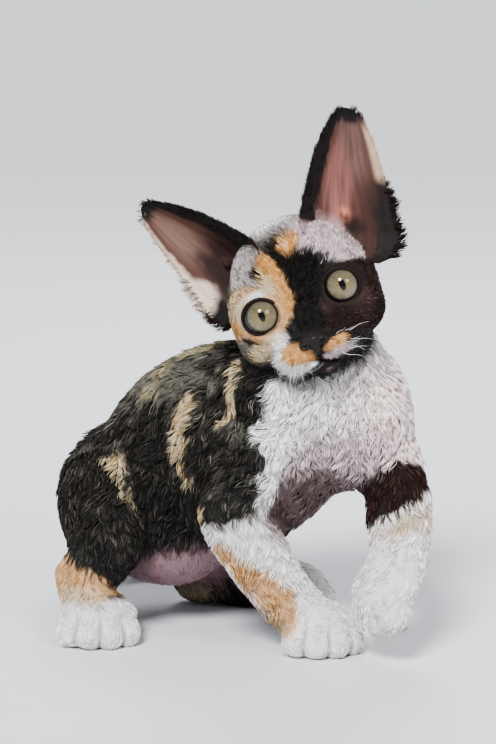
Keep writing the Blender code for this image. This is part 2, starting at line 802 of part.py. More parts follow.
def main():
    """Builds every node of the kitten."""
    for obj in list(bpy.data.objects):
        bpy.data.objects.remove(obj)

    place = head_frame()
    head = head_details(thinned(head_skin(), HEAD_TRIANGLES))
    body = thinned(with_coat(thinned(sunk(body_skin()), SKIN_TRIANGLES)), COAT_TRIANGLES)
    boolean(body, [box("floor", *FLOOR)], "DIFFERENCE", folded=True)

    ears = []
    for name, side, points in (("ear_left", 1, EAR_LEFT), ("ear_right", -1, EAR_RIGHT)):
        shell = ear(name, side, points)
        boolean(shell, [grown(head, GAP)], "DIFFERENCE")
        largest_piece(shell)
        shell.data.transform(place)
        ears.append(shell)
    eyes = []
    for name, y in (("eye_left", EYE_SPACING), ("eye_right", -EYE_SPACING)):
        eye = ball(name, (0, y, 0), [EYE_RADIUS] * 3, segments=16)
        eye.data.transform(place)
        eyes.append(eye)

    head.data.transform(place)
    boolean(body, [thinned(grown(head, 2 * GAP), HEAD_HOLLOW_TRIANGLES)], "DIFFERENCE")
    largest_piece(body)
    for shell in ears:
        boolean(body, [grown(shell, GAP)], "DIFFERENCE")

    tail = whole_tail(0.0)
    boolean(body, [whole_tail(GAP)], "DIFFERENCE")
    boolean(tail, [box("floor", *FLOOR)], "DIFFERENCE")
    tails = []
    for name, cut in reversed(TAIL_CUTS.items()):
        tails.append(part_off(tail, "tail_" + name, limb_region(*cut, *TAIL_PART)))
    largest_piece(tail).name = "tail_root"

    nodes = {}
    limbs = {"right": (FORE_RIGHT, HIND_RIGHT), "left": (FORE_LEFT, HIND_LEFT)}
    feet = {
        "right": limb_region(HIND_RIGHT["hock"], HIND_RIGHT["paw"], *RIGHT_FOOT_PART),
        "left": ball_region(*LEFT_FOOT_PART, facing(PAW_TOWARD["hind_left"])),
    }
    for side, (fore, hind) in limbs.items():
        arm = facing(vec(fore["elbow"]) - vec(fore["shoulder"]))
        above_elbow = between(fore["shoulder"], fore["elbow"], 0.75)
        below_elbow = between(fore["elbow"], fore["wrist"], 0.25)
        cuts = {
            "fore_paw_": limb_region(fore["wrist"], fore["paw"], *FORE_PAW_PART),
            "forearm_": limb_region(below_elbow, fore["wrist"], *FOREARM_PART),
            "upper_arm_": ball_region(above_elbow, UPPER_ARM_PART, arm),
            "hind_foot_": feet[side],
            "thigh_": ball_region(*THIGH_PART[side]),
        }
        for stem, region in cuts.items():
            nodes[stem + side] = part_off(body, stem + side, region)
    nodes["neck"] = part_off(body, "neck", limb_region(*NECK_PART))
    nodes["torso"] = largest_piece(body)
    nodes["head"] = head
    for obj in ears + eyes + tails + [tail]:
        nodes[obj.name] = obj
    for name, obj in nodes.items():
        finished(obj, name)


main()
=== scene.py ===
"""A devon rex kitten, dressed: skin, curled coat, eyes, ears, nose and whiskers.

Sizes are millimetres unless a name says otherwise. The kitten faces +X and its left is +Y.
The head has its own frame: origin midway between the eyeballs, x out of the face, y left, z up.
"""

from __future__ import annotations

import json
import logging
import math
from dataclasses import dataclass, replace
from enum import Enum

import bmesh
import bpy
import numpy as np
from mathutils import Matrix, Vector
from mathutils.bvhtree import BVHTree
from mathutils.kdtree import KDTree

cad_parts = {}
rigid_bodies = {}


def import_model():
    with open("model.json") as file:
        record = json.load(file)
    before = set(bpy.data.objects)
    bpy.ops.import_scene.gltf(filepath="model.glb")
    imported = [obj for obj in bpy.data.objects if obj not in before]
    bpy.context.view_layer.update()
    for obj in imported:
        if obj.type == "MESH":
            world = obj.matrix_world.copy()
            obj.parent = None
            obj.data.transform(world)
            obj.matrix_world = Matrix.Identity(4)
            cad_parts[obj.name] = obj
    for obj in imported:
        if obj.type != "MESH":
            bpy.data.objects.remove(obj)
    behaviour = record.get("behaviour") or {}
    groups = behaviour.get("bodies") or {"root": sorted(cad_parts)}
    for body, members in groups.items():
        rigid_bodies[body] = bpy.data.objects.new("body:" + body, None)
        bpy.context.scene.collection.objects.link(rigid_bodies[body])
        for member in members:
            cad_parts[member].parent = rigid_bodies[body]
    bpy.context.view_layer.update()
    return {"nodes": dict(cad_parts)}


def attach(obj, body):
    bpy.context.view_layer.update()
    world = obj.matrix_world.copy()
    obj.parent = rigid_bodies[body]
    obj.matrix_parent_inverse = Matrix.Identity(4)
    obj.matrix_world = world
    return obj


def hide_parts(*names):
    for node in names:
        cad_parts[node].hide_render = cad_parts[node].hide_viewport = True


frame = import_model()

LOG = logging.getLogger("kitten")
MM = 0.001
# From the body's frame to the kitten's.
BODY_SHIFT = np.array((12.9, 2.9, 0.0))
# The lowest that the skin, a claw and the middle of a tuft may lie.
SKIN_FLOOR, CLAW_FLOOR, TUFT_FLOOR = 0.25, 0.1, 0.45
# The middle of the mouth in the head's frame, how far its lips reach, and a distance past them.
MOUTH, MOUTH_REACH, PAST_LIPS = np.array((12, 0, -22)), 24, 99.0
FAR = 1e9

Rows = np.ndarray
Spot = tuple[float, float, float]


class Tone(Enum):
    """The colours of the coat and skin, linear."""

    BLACK = (0.006, 0.004, 0.004)
    SOOT = (0.022, 0.020, 0.018)
    BROWN = (0.027, 0.012, 0.010)
    WHITE = (0.90, 0.88, 0.87)
    BLUSH = (0.92, 0.76, 0.75)
    CREAM = (0.60, 0.50, 0.34)
    APRICOT = (0.70, 0.44, 0.23)
    ORANGE = (0.64, 0.34, 0.12)
    BEIGE = (0.33, 0.29, 0.19)
    SILVER = (0.42, 0.38, 0.37)
    LILAC = (0.62, 0.52, 0.54)
    TAUPE = (0.22, 0.155, 0.155)
    UMBER = (0.085, 0.045, 0.04)
    SKIN = (0.35, 0.225, 0.245)
    ASH = (0.15, 0.14, 0.115)


class Kind(Enum):
    """The kinds of coat, by the name that their pieces begin with."""

    CURLED = "curled_coat"
    SHORT = "short_coat"
    FACE = "face_coat"


def unit(rows: Rows) -> Rows:
    """Each row scaled to length one."""
    return rows / np.maximum(np.linalg.norm(rows, axis=-1, keepdims=True), 1e-9)


def smooth_step(low: float, high: float, value: Rows) -> Rows:
    """0 below low, 1 above high and a smooth rise between."""
    t = np.clip((value - low) / (high - low), 0.0, 1.0)
    return t * t * (3 - 2 * t)


def noise(points: Rows, size: float, seed: float = 0.0) -> Rows:
    """Smooth noise from -1 to 1 at each point.

    Args:
        points: Places in millimetres.
        size: Width of one lump of the noise.
        seed: Any number; another gives another pattern.

    Returns:
        One value for each point.
    """
    spot = points / size + seed * 17.3
    cell = np.floor(spot)
    part = spot - cell
    part = part * part * (3 - 2 * part)
    total = np.zeros(len(points))
    for corner in np.ndindex(2, 2, 2):
        at = cell + np.array(corner)
        raw = np.sin(at @ np.array((127.1, 311.7, 74.7)) + seed) * 43758.5453
        weight = np.prod(np.where(np.array(corner), part, 1 - part), axis=1)
        total += weight * (raw - np.floor(raw))
    return total * 2 - 1


def to_line(points: Rows, start: Rows, end: Rows) -> Rows:
    """How far each point is from a straight line between two places.

    Args:
        points: The places.
        start: One end of the line.
        end: Its other end.

    Returns:
        A distance for each place.
    """
    start, end = np.asarray(start, float), np.asarray(end, float)
    along = end - start
    share = np.clip((points - start) @ along / (along @ along), 0, 1)
    return np.linalg.norm(points - start - share[:, None] * along, axis=1)


def both_sides(masses: list[tuple]) -> list[tuple]:
    """Each mass, and a second one across the middle where it stands off it.

    Args:
        masses: Middle and radii of each.

    Returns:
        The masses, with their mirrored twins after them.
    """
    made = []
    for (x, y, z), radii in masses:
        made += [((x, y * side, z), radii) for side in ((1, -1) if y else (1,))]
    return made


def blended(under: Rows, over: Rows | Spot, share: Rows) -> Rows:
    """Colours laid over others, each by its share from 0 to 1."""
    return under + (np.array(over) - under) * share[:, None]


def edge_share(reach: Rows, soft: float) -> Rows:
    """1 within a reach of one, 0 past it, and a fade as wide as soft on both sides."""
    return 1 - smooth_step(1 - soft, 1 + soft, reach)


def lip_distance(inside: Rows, lines: list[Rows]) -> Rows:
    """How far points of the head's frame are from the lines of the mouth.

    Args:
        inside: The points.
        lines: The lines of the mouth.

    Returns:
        A distance for each point, or a long one where it is far from the mouth.
    """
    near = np.linalg.norm(inside - MOUTH, axis=1) < MOUTH_REACH
    close = np.full(len(inside), PAST_LIPS)
    for line in lines:
        for start, end in zip(line, line[1:]):
            close[near] = np.minimum(close[near], to_line(inside[near], start, end))
    return close


def grid_faces(rows: int, columns: int, ring: bool = False, closed: bool = False) -> Rows:
    """Four-sided faces between the corners of a grid.

    Args:
        rows: How many rows of corners it has.
        columns: How many corners a row has.
        ring: Whether each row is closed into a ring.
        closed: Whether the last row meets the first.

    Returns:
        The corner numbers of each face.
    """
    down, across = np.arange(rows - 1 + closed), np.arange(columns - 1 + ring)
    i, j = np.meshgrid(down, across, indexing="ij")
    n, m = (i + 1) % rows, (j + 1) % columns
    square = [i * columns + j, i * columns + m, n * columns + m, n * columns + j]
    return np.stack(square, axis=-1).reshape(-1, 4)


def halved(squares: Rows) -> Rows:
    """Two triangles for each four-sided face."""
    return np.concatenate([squares[:, [0, 1, 2]], squares[:, [0, 2, 3]]])


def heading(azimuth: float, elevation: float) -> Vector:
    """The direction from the model to a place round it, from degrees."""
    a, e = math.radians(azimuth), math.radians(elevation)
    return Vector((math.sin(a) * math.cos(e), -math.cos(a) * math.cos(e), math.sin(e)))


@dataclass(frozen=True)
class Patch:
    """A rounded patch of colour.

    Attributes:
        colour: Its tone.
        centre: Its middle.
        radii: Its reach along x, y and z.
        ragged: How far its edge wanders, as a share of its reach.
        soft: How wide its edge fades.
        turn: Degrees it is turned about x, then y, then z.
    """

    colour: Tone
    centre: Spot
    radii: Spot
    ragged: float = 0.16
    soft: float = 0.14
    turn: Spot = (0, 0, 0)

    def share(self, points: Rows) -> Rows:
        """How strongly the patch shows at each point, 0 to 1.

        Args:
            points: The places, in the patch's frame.

        Returns:
            A share for each place.
        """
        apart = points - np.array(self.centre)
        if any(self.turn):
            x, y, z = (math.radians(a) for a in self.turn)
            spin = Matrix.Rotation(z, 3, "Z") @ Matrix.Rotation(y, 3, "Y") @ Matrix.Rotation(x, 3, "X")
            apart = apart @ np.array(spin)
        reach = np.linalg.norm(apart / np.array(self.radii), axis=1)
        wander = noise(points, 5.0, self.centre[0]) * 0.65 + noise(points, 1.8, self.centre[1]) * 0.35
        return edge_share(reach + wander * self.ragged, self.soft)


@dataclass(frozen=True)
class Streak:
    """A ragged streak of colour along a line.

    Attributes:
        colour: Its tone.
        points: The places that the line runs through.
        radius: Half its width.
        ragged: How far its edge wanders, as a share of its radius.
        soft: How wide its edge fades.
    """

    colour: Tone
    points: tuple[Spot, ...]
    radius: float
    ragged: float = 0.35
    soft: float = 0.2

    def share(self, points: Rows) -> Rows:
        """How strongly the streak shows at each point, 0 to 1.

        Args:
            points: The places, in the streak's frame.

        Returns:
            A share for each place.
        """
        reach = np.full(len(points), FAR)
        for start, end in zip(self.points, self.points[1:]):
            reach = np.minimum(reach, to_line(points, start, end))
        wander = noise(points, 4.0, self.radius) * 0.6 + noise(points, 1.6, 2.5) * 0.4
        return edge_share(reach / self.radius + wander * self.ragged, self.soft)


@dataclass
class HeadPlace:
    """Where the head stands and how it is turned.

    Attributes:
        place: The middle between the eyeballs, in the kitten's frame.
        turn: Degrees that the face is turned about the upright, from +X.
        lift: Degrees that it looks up.
        tilt: Degrees that the head leans to its right.
    """

    place: Spot = (55.7, -16.7, 150.7)
    turn: float = -56.0
    lift: float = 4.0
    tilt: float = 22.0

    def matrix(self) -> Matrix:
        """The matrix that carries the head's frame into the kitten's.

        Returns:
            The matrix.
        """
        return (
            Matrix.Translation(Vector(self.place))
            @ Matrix.Rotation(math.radians(self.turn), 4, "Z")
            @ Matrix.Rotation(math.radians(-self.lift), 4, "Y")
            @ Matrix.Rotation(math.radians(self.tilt), 4, "X")
        )

    def spin(self) -> Rows:
        """The turn alone, as rows and columns."""
        return np.array(self.matrix().to_3x3())

    def inward(self, points: Rows) -> Rows:
        """Points of the kitten's frame in the head's frame."""
        return (points - np.array(self.place)) @ self.spin()

    def outward(self, points: Rows) -> Rows:
        """Points of the head's frame in the kitten's frame."""
        return points @ self.spin().T + np.array(self.place)


@dataclass
class HeadForm:
    """The masses of the head, in its own frame.

    Attributes:
        skull: Middle and radii of cranium, occiput, temples, mounds of the ears, cheeks, jaw,
            jowls and orbits. One that stands off the middle is there on both sides.
        face: The same of muzzle, snout, whisker pads and chin.
        bridge: Places and radii from the brow to the nose.
        nose: Middle and radii of the nose.
        eye_spacing: How far each eyeball is from the middle.
        eye_radius: Radius of an eyeball.
        lid_opening: Half width and half height of the opening between the lids.
    """

    skull: tuple = (
        ((-21, 0, 7.6), (27, 29, 28.2)),
        ((-30, 0, -2), (19, 26, 23)),
        ((-17, 17, -1), (21, 16.5, 16.5)),
        ((-26, 21, 6), (13, 13, 15)),
        ((-12, 17.5, -10), (19, 15, 14)),
        ((-12, 0, -15), (24, 24, 16.5)),
        ((-1, 9, -18), (15.5, 12, 11)),
        ((-3.6, 17.2, -0.3), (10, 13.4, 13.4)),
    )
    face: tuple = (
        ((7, 0, -17), (12, 11, 9)),
        ((4, 4.5, -9), (9, 7.5, 9)),
        ((11.6, 7.4, -19.4), (8.6, 8.6, 7)),
        ((9, 0, -26.8), (8.4, 7.4, 5.2)),
    )
    bridge: tuple = (((-5, 0, 7), 9), ((3, 0, -3.5), 7.4), ((10, 0, -10.5), 6.2), ((16, 0, -14.6), 4.8))
    nose: tuple = ((18.9, 0, -15.6), (4.4, 6.0, 3.6))
    eye_spacing: float = 17.4
    eye_radius: float = 8.3
    lid_opening: tuple[float, float] = (7.3, 6.9)

    def near(self, points: Rows) -> Rows:
        """How far each point in the head's frame is outside the skull's masses.

        Args:
            points: The points, in the head's frame.

        Returns:
            A distance for each, less than 0 inside.
        """
        best = np.full(len(points), FAR)
        for centre, radii in both_sides([*self.skull, *self.face]):
            reach = np.linalg.norm((points - np.array(centre)) / np.array(radii), axis=1)
            best = np.minimum(best, (reach - 1) * min(radii))
        return best

    def round_eye(self, inside: Rows, side: int, more: float = 0.0) -> tuple[Rows, Rows]:
        """How points of the head's frame lie about one eye.

        Args:
            inside: The points.
            side: 1 for the left eye, -1 for the right one.
            more: How much wider than the lids the opening is taken.

        Returns:
            The way from the eyeball's middle, and a reach that is 1 at the opening's edge.
        """
        apart = inside - np.array((0, self.eye_spacing * side, 0))
        wide, high = self.lid_opening
        return apart, np.hypot(apart[:, 1] / (wide + more), apart[:, 2] / (high + more))


PLACE = HeadPlace()
FORM = HeadForm()


@dataclass
class Markings:
    """The tortoiseshell and white coat, with a few patches of painted highlight and shade: patches laid over
    each other in their order.

    Attributes:
        body: The body's patches and streaks, in its frame.
        head: The head's, from the crown to the chin, in its frame.
    """

    body: tuple = (
        # Grey and beige ticking on the back
        Patch(Tone.ASH, (-26, -14, 112), (34, 16, 12), 0.9, 0.5),
        Patch(Tone.BEIGE, (-32, -24, 108), (5, 5, 4), 0.7, 0.5),
        Patch(Tone.BEIGE, (-32, -14, 116), (6, 4, 4), 0.7, 0.5),
        Patch(Tone.BEIGE, (-26, -7, 122), (8, 4, 4), 0.7, 0.5),
        Patch(Tone.BEIGE, (-12, -4, 125), (7, 4, 4), 0.7, 0.5),
        Patch(Tone.BEIGE, (-54, -16, 108), (9, 4, 4), 0.7, 0.5),
        Patch(Tone.BEIGE, (-44, 16, 106), (9, 5, 4), 0.7, 0.5),
        Patch(Tone.BEIGE, (-20, 24, 110), (8, 5, 4), 0.7, 0.5),
        # Cream streaks on the right side, then on the left
        Streak(Tone.CREAM, ((11, -20, 122), (16, -29, 113), (13, -31, 101)), 3.0),
        Streak(Tone.CREAM, ((-8, -28, 106), (-10, -31, 97), (-10, -33, 90)), 4.6),
        Streak(Tone.CREAM, ((-10, -33, 90), (-9, -35, 81), (-3, -36, 70), (9, -45, 62)), 3.3),
        Patch(Tone.CREAM, (-44, -35, 77), (5.5, 5, 3.6), 0.5, 0.4),
        Streak(Tone.CREAM, ((-6, 31, 104), (-10, 35, 90), (-18, 36, 76)), 3.4),
        Patch(Tone.CREAM, (-48, 36, 76), (8, 6, 5), 0.4, 0.3),
        Streak(Tone.BEIGE, ((-66, 34, 74), (-54, 42, 58), (-38, 48, 50)), 3.0),
        Patch(Tone.BEIGE, (-86, 6, 78), (8, 9, 6), 0.5, 0.4),
        # White breast, throat, arms and paws
        Patch(Tone.WHITE, (67, 3, 96), (43, 61, 53), 0.07, 0.04),
        Patch(Tone.BLUSH, (70, 14, 100), (30, 26, 28), 0.1, 0.6),
        Patch(Tone.WHITE, (22, -30, 19), (42, 40, 43), 0.06, 0.05),
        Patch(Tone.SOOT, (-17, -26, 54), (21, 22, 20), 0.1, 0.1),
        Patch(Tone.WHITE, (42, 0, 8), (30, 28, 20), 0.1, 0.1),
        Streak(Tone.BEIGE, ((-43, -37, 73), (-37, -38, 66), (-31, -38, 59)), 2.0),
        Streak(Tone.BEIGE, ((-31, -38, 59), (-27, -36, 48), (-21, -33, 39)), 2.2),
        Streak(Tone.WHITE, ((74, 12, 56), (76, 4, 42), (72, 0, 30), (70, -6, 20)), 23, 0.06, 0.04),
        Patch(Tone.TAUPE, (61, -2, 79), (10, 12, 8), 0.3, 0.6),
        Patch(Tone.BROWN, (67, 2, 70.5), (23, 26, 10.3), 0.16, 0.1, (0, -30, 0)),
        Patch(Tone.CREAM, (80, 6, 60), (12, 12, 4), 0.5, 0.8, (0, -30, 0)),
        Streak(Tone.APRICOT, ((18, -42, 46), (25, -36, 37)), 5.5, 0.4, 0.4),
        Streak(Tone.APRICOT, ((28, -33, 33), (34, -24, 24), (31, -20, 16)), 8.5, 0.35, 0.3),
        Streak(Tone.CREAM, ((24, -24, 20), (32, -17, 12)), 4.0, 0.5, 0.4),
        Patch(Tone.APRICOT, (-60, -50, 23), (22, 22, 11.5), 0.14, 0.12),
        Patch(Tone.APRICOT, (-48, -54, 22), (13, 14, 9), 0.14, 0.12),
        Patch(Tone.CREAM, (-50, -56, 20), (13, 10, 4), 0.5, 0.6),
        Patch(Tone.WHITE, (-38, -52, 2), (30, 24, 17), 0.12, 0.1),
        # The left hind shank and foot under the body: partly its own black fur, partly painted shade under
        # the body
        Patch(Tone.SOOT, (-26, 18, 10), (22, 16, 10), 0.2, 0.3),
        Patch(Tone.BEIGE, (-41, 13, 8), (9, 7, 5), 0.5, 0.6),
        Patch(Tone.WHITE, (-2, 44, 6), (22, 24, 18), 0.12, 0.1),
        Patch(Tone.CREAM, (-106, 34, 14), (12, 12, 12), 0.5, 0.4),
        # The thinly haired belly and armpits
        Patch(Tone.SKIN, (-22, -6, 26), (52, 30, 17), 0.1, 0.3),
        Patch(Tone.SKIN, (-22, 12, 24), (20, 16, 9), 0.2, 0.4),
        Patch(Tone.LILAC, (52, -12, 87), (20, 22, 12), 0.3, 0.5, (0, -25, 0)),
        Patch(Tone.TAUPE, (43, -12, 71), (19, 20, 14), 0.25, 0.4, (0, -25, 0)),
        Patch(Tone.TAUPE, (32, -8, 60), (16, 20, 11), 0.25, 0.4, (0, -25, 0)),
        Streak(Tone.WHITE, ((43, -32, 90), (40, -32, 76), (35, -32, 60)), 6.0, 0.4, 0.3),
    )
    head: tuple = (
        Patch(Tone.SOOT, (-20, 0, 6), (60, 60, 60), 0, 0.1),
        Patch(Tone.ASH, (-8, 2, 30), (10, 16, 9), 0.4, 0.4),
        Patch(Tone.SILVER, (-11, -2, 31), (7, 14, 6), 0.5, 0.5),
        # Partly pale fur and partly painted highlight where light falls on the top of the crown
        Patch(Tone.WHITE, (-17, -6, 35), (12, 15, 5), 0.2, 0.3),
        Patch(Tone.SILVER, (-8, -18, 20), (12, 10, 16), 0.3, 0.4),
        Patch(Tone.APRICOT, (0, -20, -1), (17, 18, 13), 0.1, 0.14),
        Patch(Tone.CREAM, (-2, -28, 3), (14, 9, 12), 0.3, 0.4),
        Patch(Tone.ORANGE, (-3, -30, -2), (6, 6, 5), 0.5, 0.4),
        Patch(Tone.WHITE, (3, -16, 8.6), (6, 5.0, 1.8), 0.5, 0.6),
        Patch(Tone.ORANGE, (4, -24.5, -7.6), (7, 5, 2.4), 0.4, 0.5, (25, 0, 0)),
        Patch(Tone.ORANGE, (3, -7.2, 13.0), (8, 5.0, 9.5), 0.14, 0.14),
        Patch(Tone.ORANGE, (7, -5.0, 3.0), (8, 3.8, 8), 0.14, 0.3, (8, 0, 0)),
        Patch(Tone.CREAM, (5, -9.8, 11), (7, 2.6, 5), 0.4, 0.6),
        Patch(Tone.ASH, (-2, -29, -11), (12, 9, 5), 0.4, 0.4),
        # A brown line under the right eye: partly brown fur, partly painted shade below the eye
        Streak(Tone.BROWN, ((1, -27.5, -7.2), (5.2, -22.6, -10.6), (8, -17, -9.8)), 1.3, 0.3, 0.6),
        Patch(Tone.CREAM, (5, -21, -14), (9, 8, 3.5), 0.4, 0.5, (25, 0, 0)),
        Patch(Tone.LILAC, (-12, 23, 20), (22, 20, 13), 0.14, 0.14, (-18, 0, 0)),
        Patch(Tone.BROWN, (2, 20, -6), (24, 20.5, 14.5), 0.08, 0.08, (-6, 0, 0)),
        Patch(Tone.BLACK, (6, 5.5, 6), (10, 8.5, 12), 0.12, 0.1, (8, 0, 0)),
        Patch(Tone.BLACK, (2, -0.5, 19), (8, 4.0, 8), 0.3, 0.2, (12, 0, 0)),
        Patch(Tone.BLACK, (9, 1.2, -6), (12, 6.0, 10), 0.08, 0.08, (-8, 0, 0)),
        Patch(Tone.UMBER, (9, 9.2, -4.4), (3.4, 2.4, 3.4), 0.3, 0.9),
        # Painted highlight: a lighter umber spot where light falls on the brown left cheek
        Patch(Tone.UMBER, (6, 25, -8), (6, 5, 4), 0.6, 0.9),
        Patch(Tone.ORANGE, (0, 3.6, 23), (7, 3.6, 5), 0.3, 0.3, (-40, 0, 0)),
        Patch(Tone.BLACK, (1, -12.8, 16.2), (4, 1.6, 2.4), 0.3, 0.3),
        Patch(Tone.WHITE, (10, -13.5, -14.5), (9, 3.6, 7), 0.25, 0.4, (-20, 0, 0)),
        Patch(Tone.WHITE, (9, -14, -23), (11, 9, 6), 0.2, 0.3),
        Patch(Tone.ORANGE, (17, -8.6, -18.6), (8, 6.6, 4.2), 0.2, 0.3, (-22, 0, 0)),
        Patch(Tone.WHITE, (14, -7.0, -25), (9, 7, 2.4), 0.2, 0.3, (-12, 0, 0)),
        Patch(Tone.ORANGE, (18, 8.0, -19.4), (6, 5.2, 2.2), 0.2, 0.3, (12, 0, 0)),
        Patch(Tone.LILAC, (14, 8.4, -23.0), (9, 7.6, 1.9), 0.3, 0.5),
        Patch(Tone.BLACK, (12, 1.0, -29.8), (9, 8.0, 4.6), 0.1, 0.12),
        # Painted highlight: a small pale glint on the black chin
        Patch(Tone.TAUPE, (17, 2.5, -28.6), (2, 2.6, 0.7), 0.4, 0.8),
        Streak(Tone.BLACK, ((17, 0, -19), (18, 0, -23)), 1.3, 0.1, 0.3),
    )

    def on_head(self, points: Rows) -> Rows:
        """1 on the head and 0 on the body, with a short fade."""
        return 1 - smooth_step(1.0, 3.5, FORM.near(PLACE.inward(points)))

    def colours(self, points: Rows) -> Rows:
        """The coat's colour at each point of the kitten's frame.

        Args:
            points: Places in the kitten's frame.

        Returns:
            A colour for each place.
        """
        drawn = points * np.array((0.45, 1.0, 0.8))
        flecks = smooth_step(0.0, 0.7, noise(drawn, 3.4, 4.0) * 0.7 + noise(drawn, 1.3, 9.0) * 0.4)
        upper = 0.3 + 0.7 * smooth_step(45, 105, points[:, 2] + 0.2 * points[:, 0])
        made = blended(np.array(Tone.SOOT.value), Tone.ASH.value, flecks * upper * 0.7)
        for mark in self.body:
            made = blended(made, mark.colour.value, mark.share(points - BODY_SHIFT))
        shown, inside = self.on_head(points), PLACE.inward(points)
        for mark in self.head:
            made = blended(made, mark.colour.value, mark.share(inside) * shown)
        return made


@dataclass
class CoatPlan:
    """Where the coat is long, short or thin, and which way it lies, in the body's frame.

    Attributes:
        lines: Lines from start to end that the coat beside them follows.
        short_limbs: The start, end and reach of each limb with a short coat.
        paws: The middle and reach of each paw.
        tail: The line of the tail, which has a short coat.
        belly: The middle and radii of the thinly haired belly.
        drop: How strongly the coat hangs.
        nose: What the coat of the head lies away from, in the head's frame.
    """

    lines: tuple = (
        ((56, 4, 104), (-80, 0, 66)),
        ((34, 0, 146), (34, 5, 104)),
        ((58, -6, 128), (62, 4, 70)),
        ((32, -26, 96), (18, -38, 62)),
        ((54, 28, 98), (70, 20, 70)),
        ((-62, -30, 74), (-34, -48, 34)),
        ((-62, 30, 72), (-32, 46, 34)),
        ((16, -33, 61), (29, -11, 22)),
        ((29, -11, 22), (50, -12, 8)),
        ((68, 15, 68), (75, 6, 42)),
        ((75, 6, 42), (70, -3, 24)),
        ((-38, -43, 42), (-59, -43, 23)),
        ((-59, -43, 20), (-30, -60, 8)),
        ((-20, 42, 44), (-46, 21, 12)),
        ((-46, 21, 12), (6, 50, 8)),
        ((-81, 1, 69), (-98, 6, 57)),
        ((-98, 6, 57), (-107, 18, 34)),
        ((-107, 18, 34), (-103, 34, 14)),
        ((-103, 34, 14), (-86, 48, 6)),
        ((-86, 48, 6), (-36, 61, 4.5)),
    )
    short_limbs: tuple = (
        ((14, -35, 55), (38, -2, 9), 24),
        ((69, 15, 64), (72, 1, 32), 21),
        ((-36, -43, 30), (-62, -44, 18), 19),
        ((-18, 42, 30), (-50, 22, 10), 22),
        ((-59, -43, 15), (-35, -57, 5), 22),
        ((-46, 21, 8), (0, 46, 5), 24),
    )
    paws: tuple = (((40, -3, 7), 23), ((72, 1, 30), 21), ((-41, -51, 7), 23), ((-7, 42, 7), 24))
    tail: tuple = ((-90, 3, 64), (-107, 18, 34), (-103, 34, 14), (-86, 48, 6), (-36, 61, 4.5))
    tail_reach: float = 16
    belly: tuple = ((-22, -4, 27), (52, 32, 18))
    drop: float = 0.3
    nose: Spot = (21.0, 0.0, -13.0)

    def curliness(self, points: Rows) -> Rows:
        """1 where the coat is long and curled, 0 where it is short.

        Args:
            points: Places in the kitten's frame.

        Returns:
            A share for each place.
        """
        points = points - BODY_SHIFT
        share = np.ones(len(points))
        for start, end, reach in self.short_limbs:
            share = np.minimum(share, to_line(points, start, end) / reach - 1)
        for start, end in zip(self.tail, self.tail[1:]):
            share = np.minimum(share, to_line(points, start, end) / self.tail_reach - 1)
        centre, radii = self.belly
        share = np.minimum(share, np.linalg.norm((points - centre) / radii, axis=1) - 1)
        return np.clip(share * 3, 0, 1)

    def paw_share(self, points: Rows) -> Rows:
        """1 on the paws, 0 away from them.

        Args:
            points: Places in the kitten's frame.

        Returns:
            A share for each place.
        """
        points = points - BODY_SHIFT
        share = np.zeros(len(points))
        for centre, reach in self.paws:
            apart = np.linalg.norm(points - np.array(centre), axis=1)
            share = np.maximum(share, 1 - smooth_step(reach * 0.8, reach * 1.15, apart))
        return share

    def bareness(self, points: Rows) -> Rows:
        """1 on the thinly haired belly, 0 away from it.

        Args:
            points: Places in the kitten's frame.

        Returns:
            A share for each place.
        """
        centre, radii = self.belly
        reach = np.linalg.norm((points - BODY_SHIFT - centre) / radii, axis=1)
        return 1 - smooth_step(0.75, 1.1, reach)

    def lie(self, points: Rows, normals: Rows) -> Rows:
        """The direction that the coat points in along the skin.

        Args:
            points: Places in the kitten's frame.
            normals: The outward direction at each.

        Returns:
            A direction for each place.
        """
        inside = points - BODY_SHIFT
        total = np.tile(np.array((0.0, 0.0, -self.drop)), (len(points), 1))
        weights, ways = [], []
        for start, end in self.lines:
            weights.append(np.maximum(to_line(inside, start, end), 1.0) ** -3)
            ways.append(unit(np.array(end, float) - np.array(start, float)))
        weights = np.array(weights)
        weights /= weights.sum(axis=0)
        total += weights.T @ np.array(ways)
        head = MARKINGS.on_head(points)
        away = unit(PLACE.inward(points) - np.array(self.nose)) @ PLACE.spin().T
        total = total * (1 - head)[:, None] + away * head[:, None]
        return unit(total - normals * (total * normals).sum(1)[:, None])


PLAN = CoatPlan()
MARKINGS = Markings()


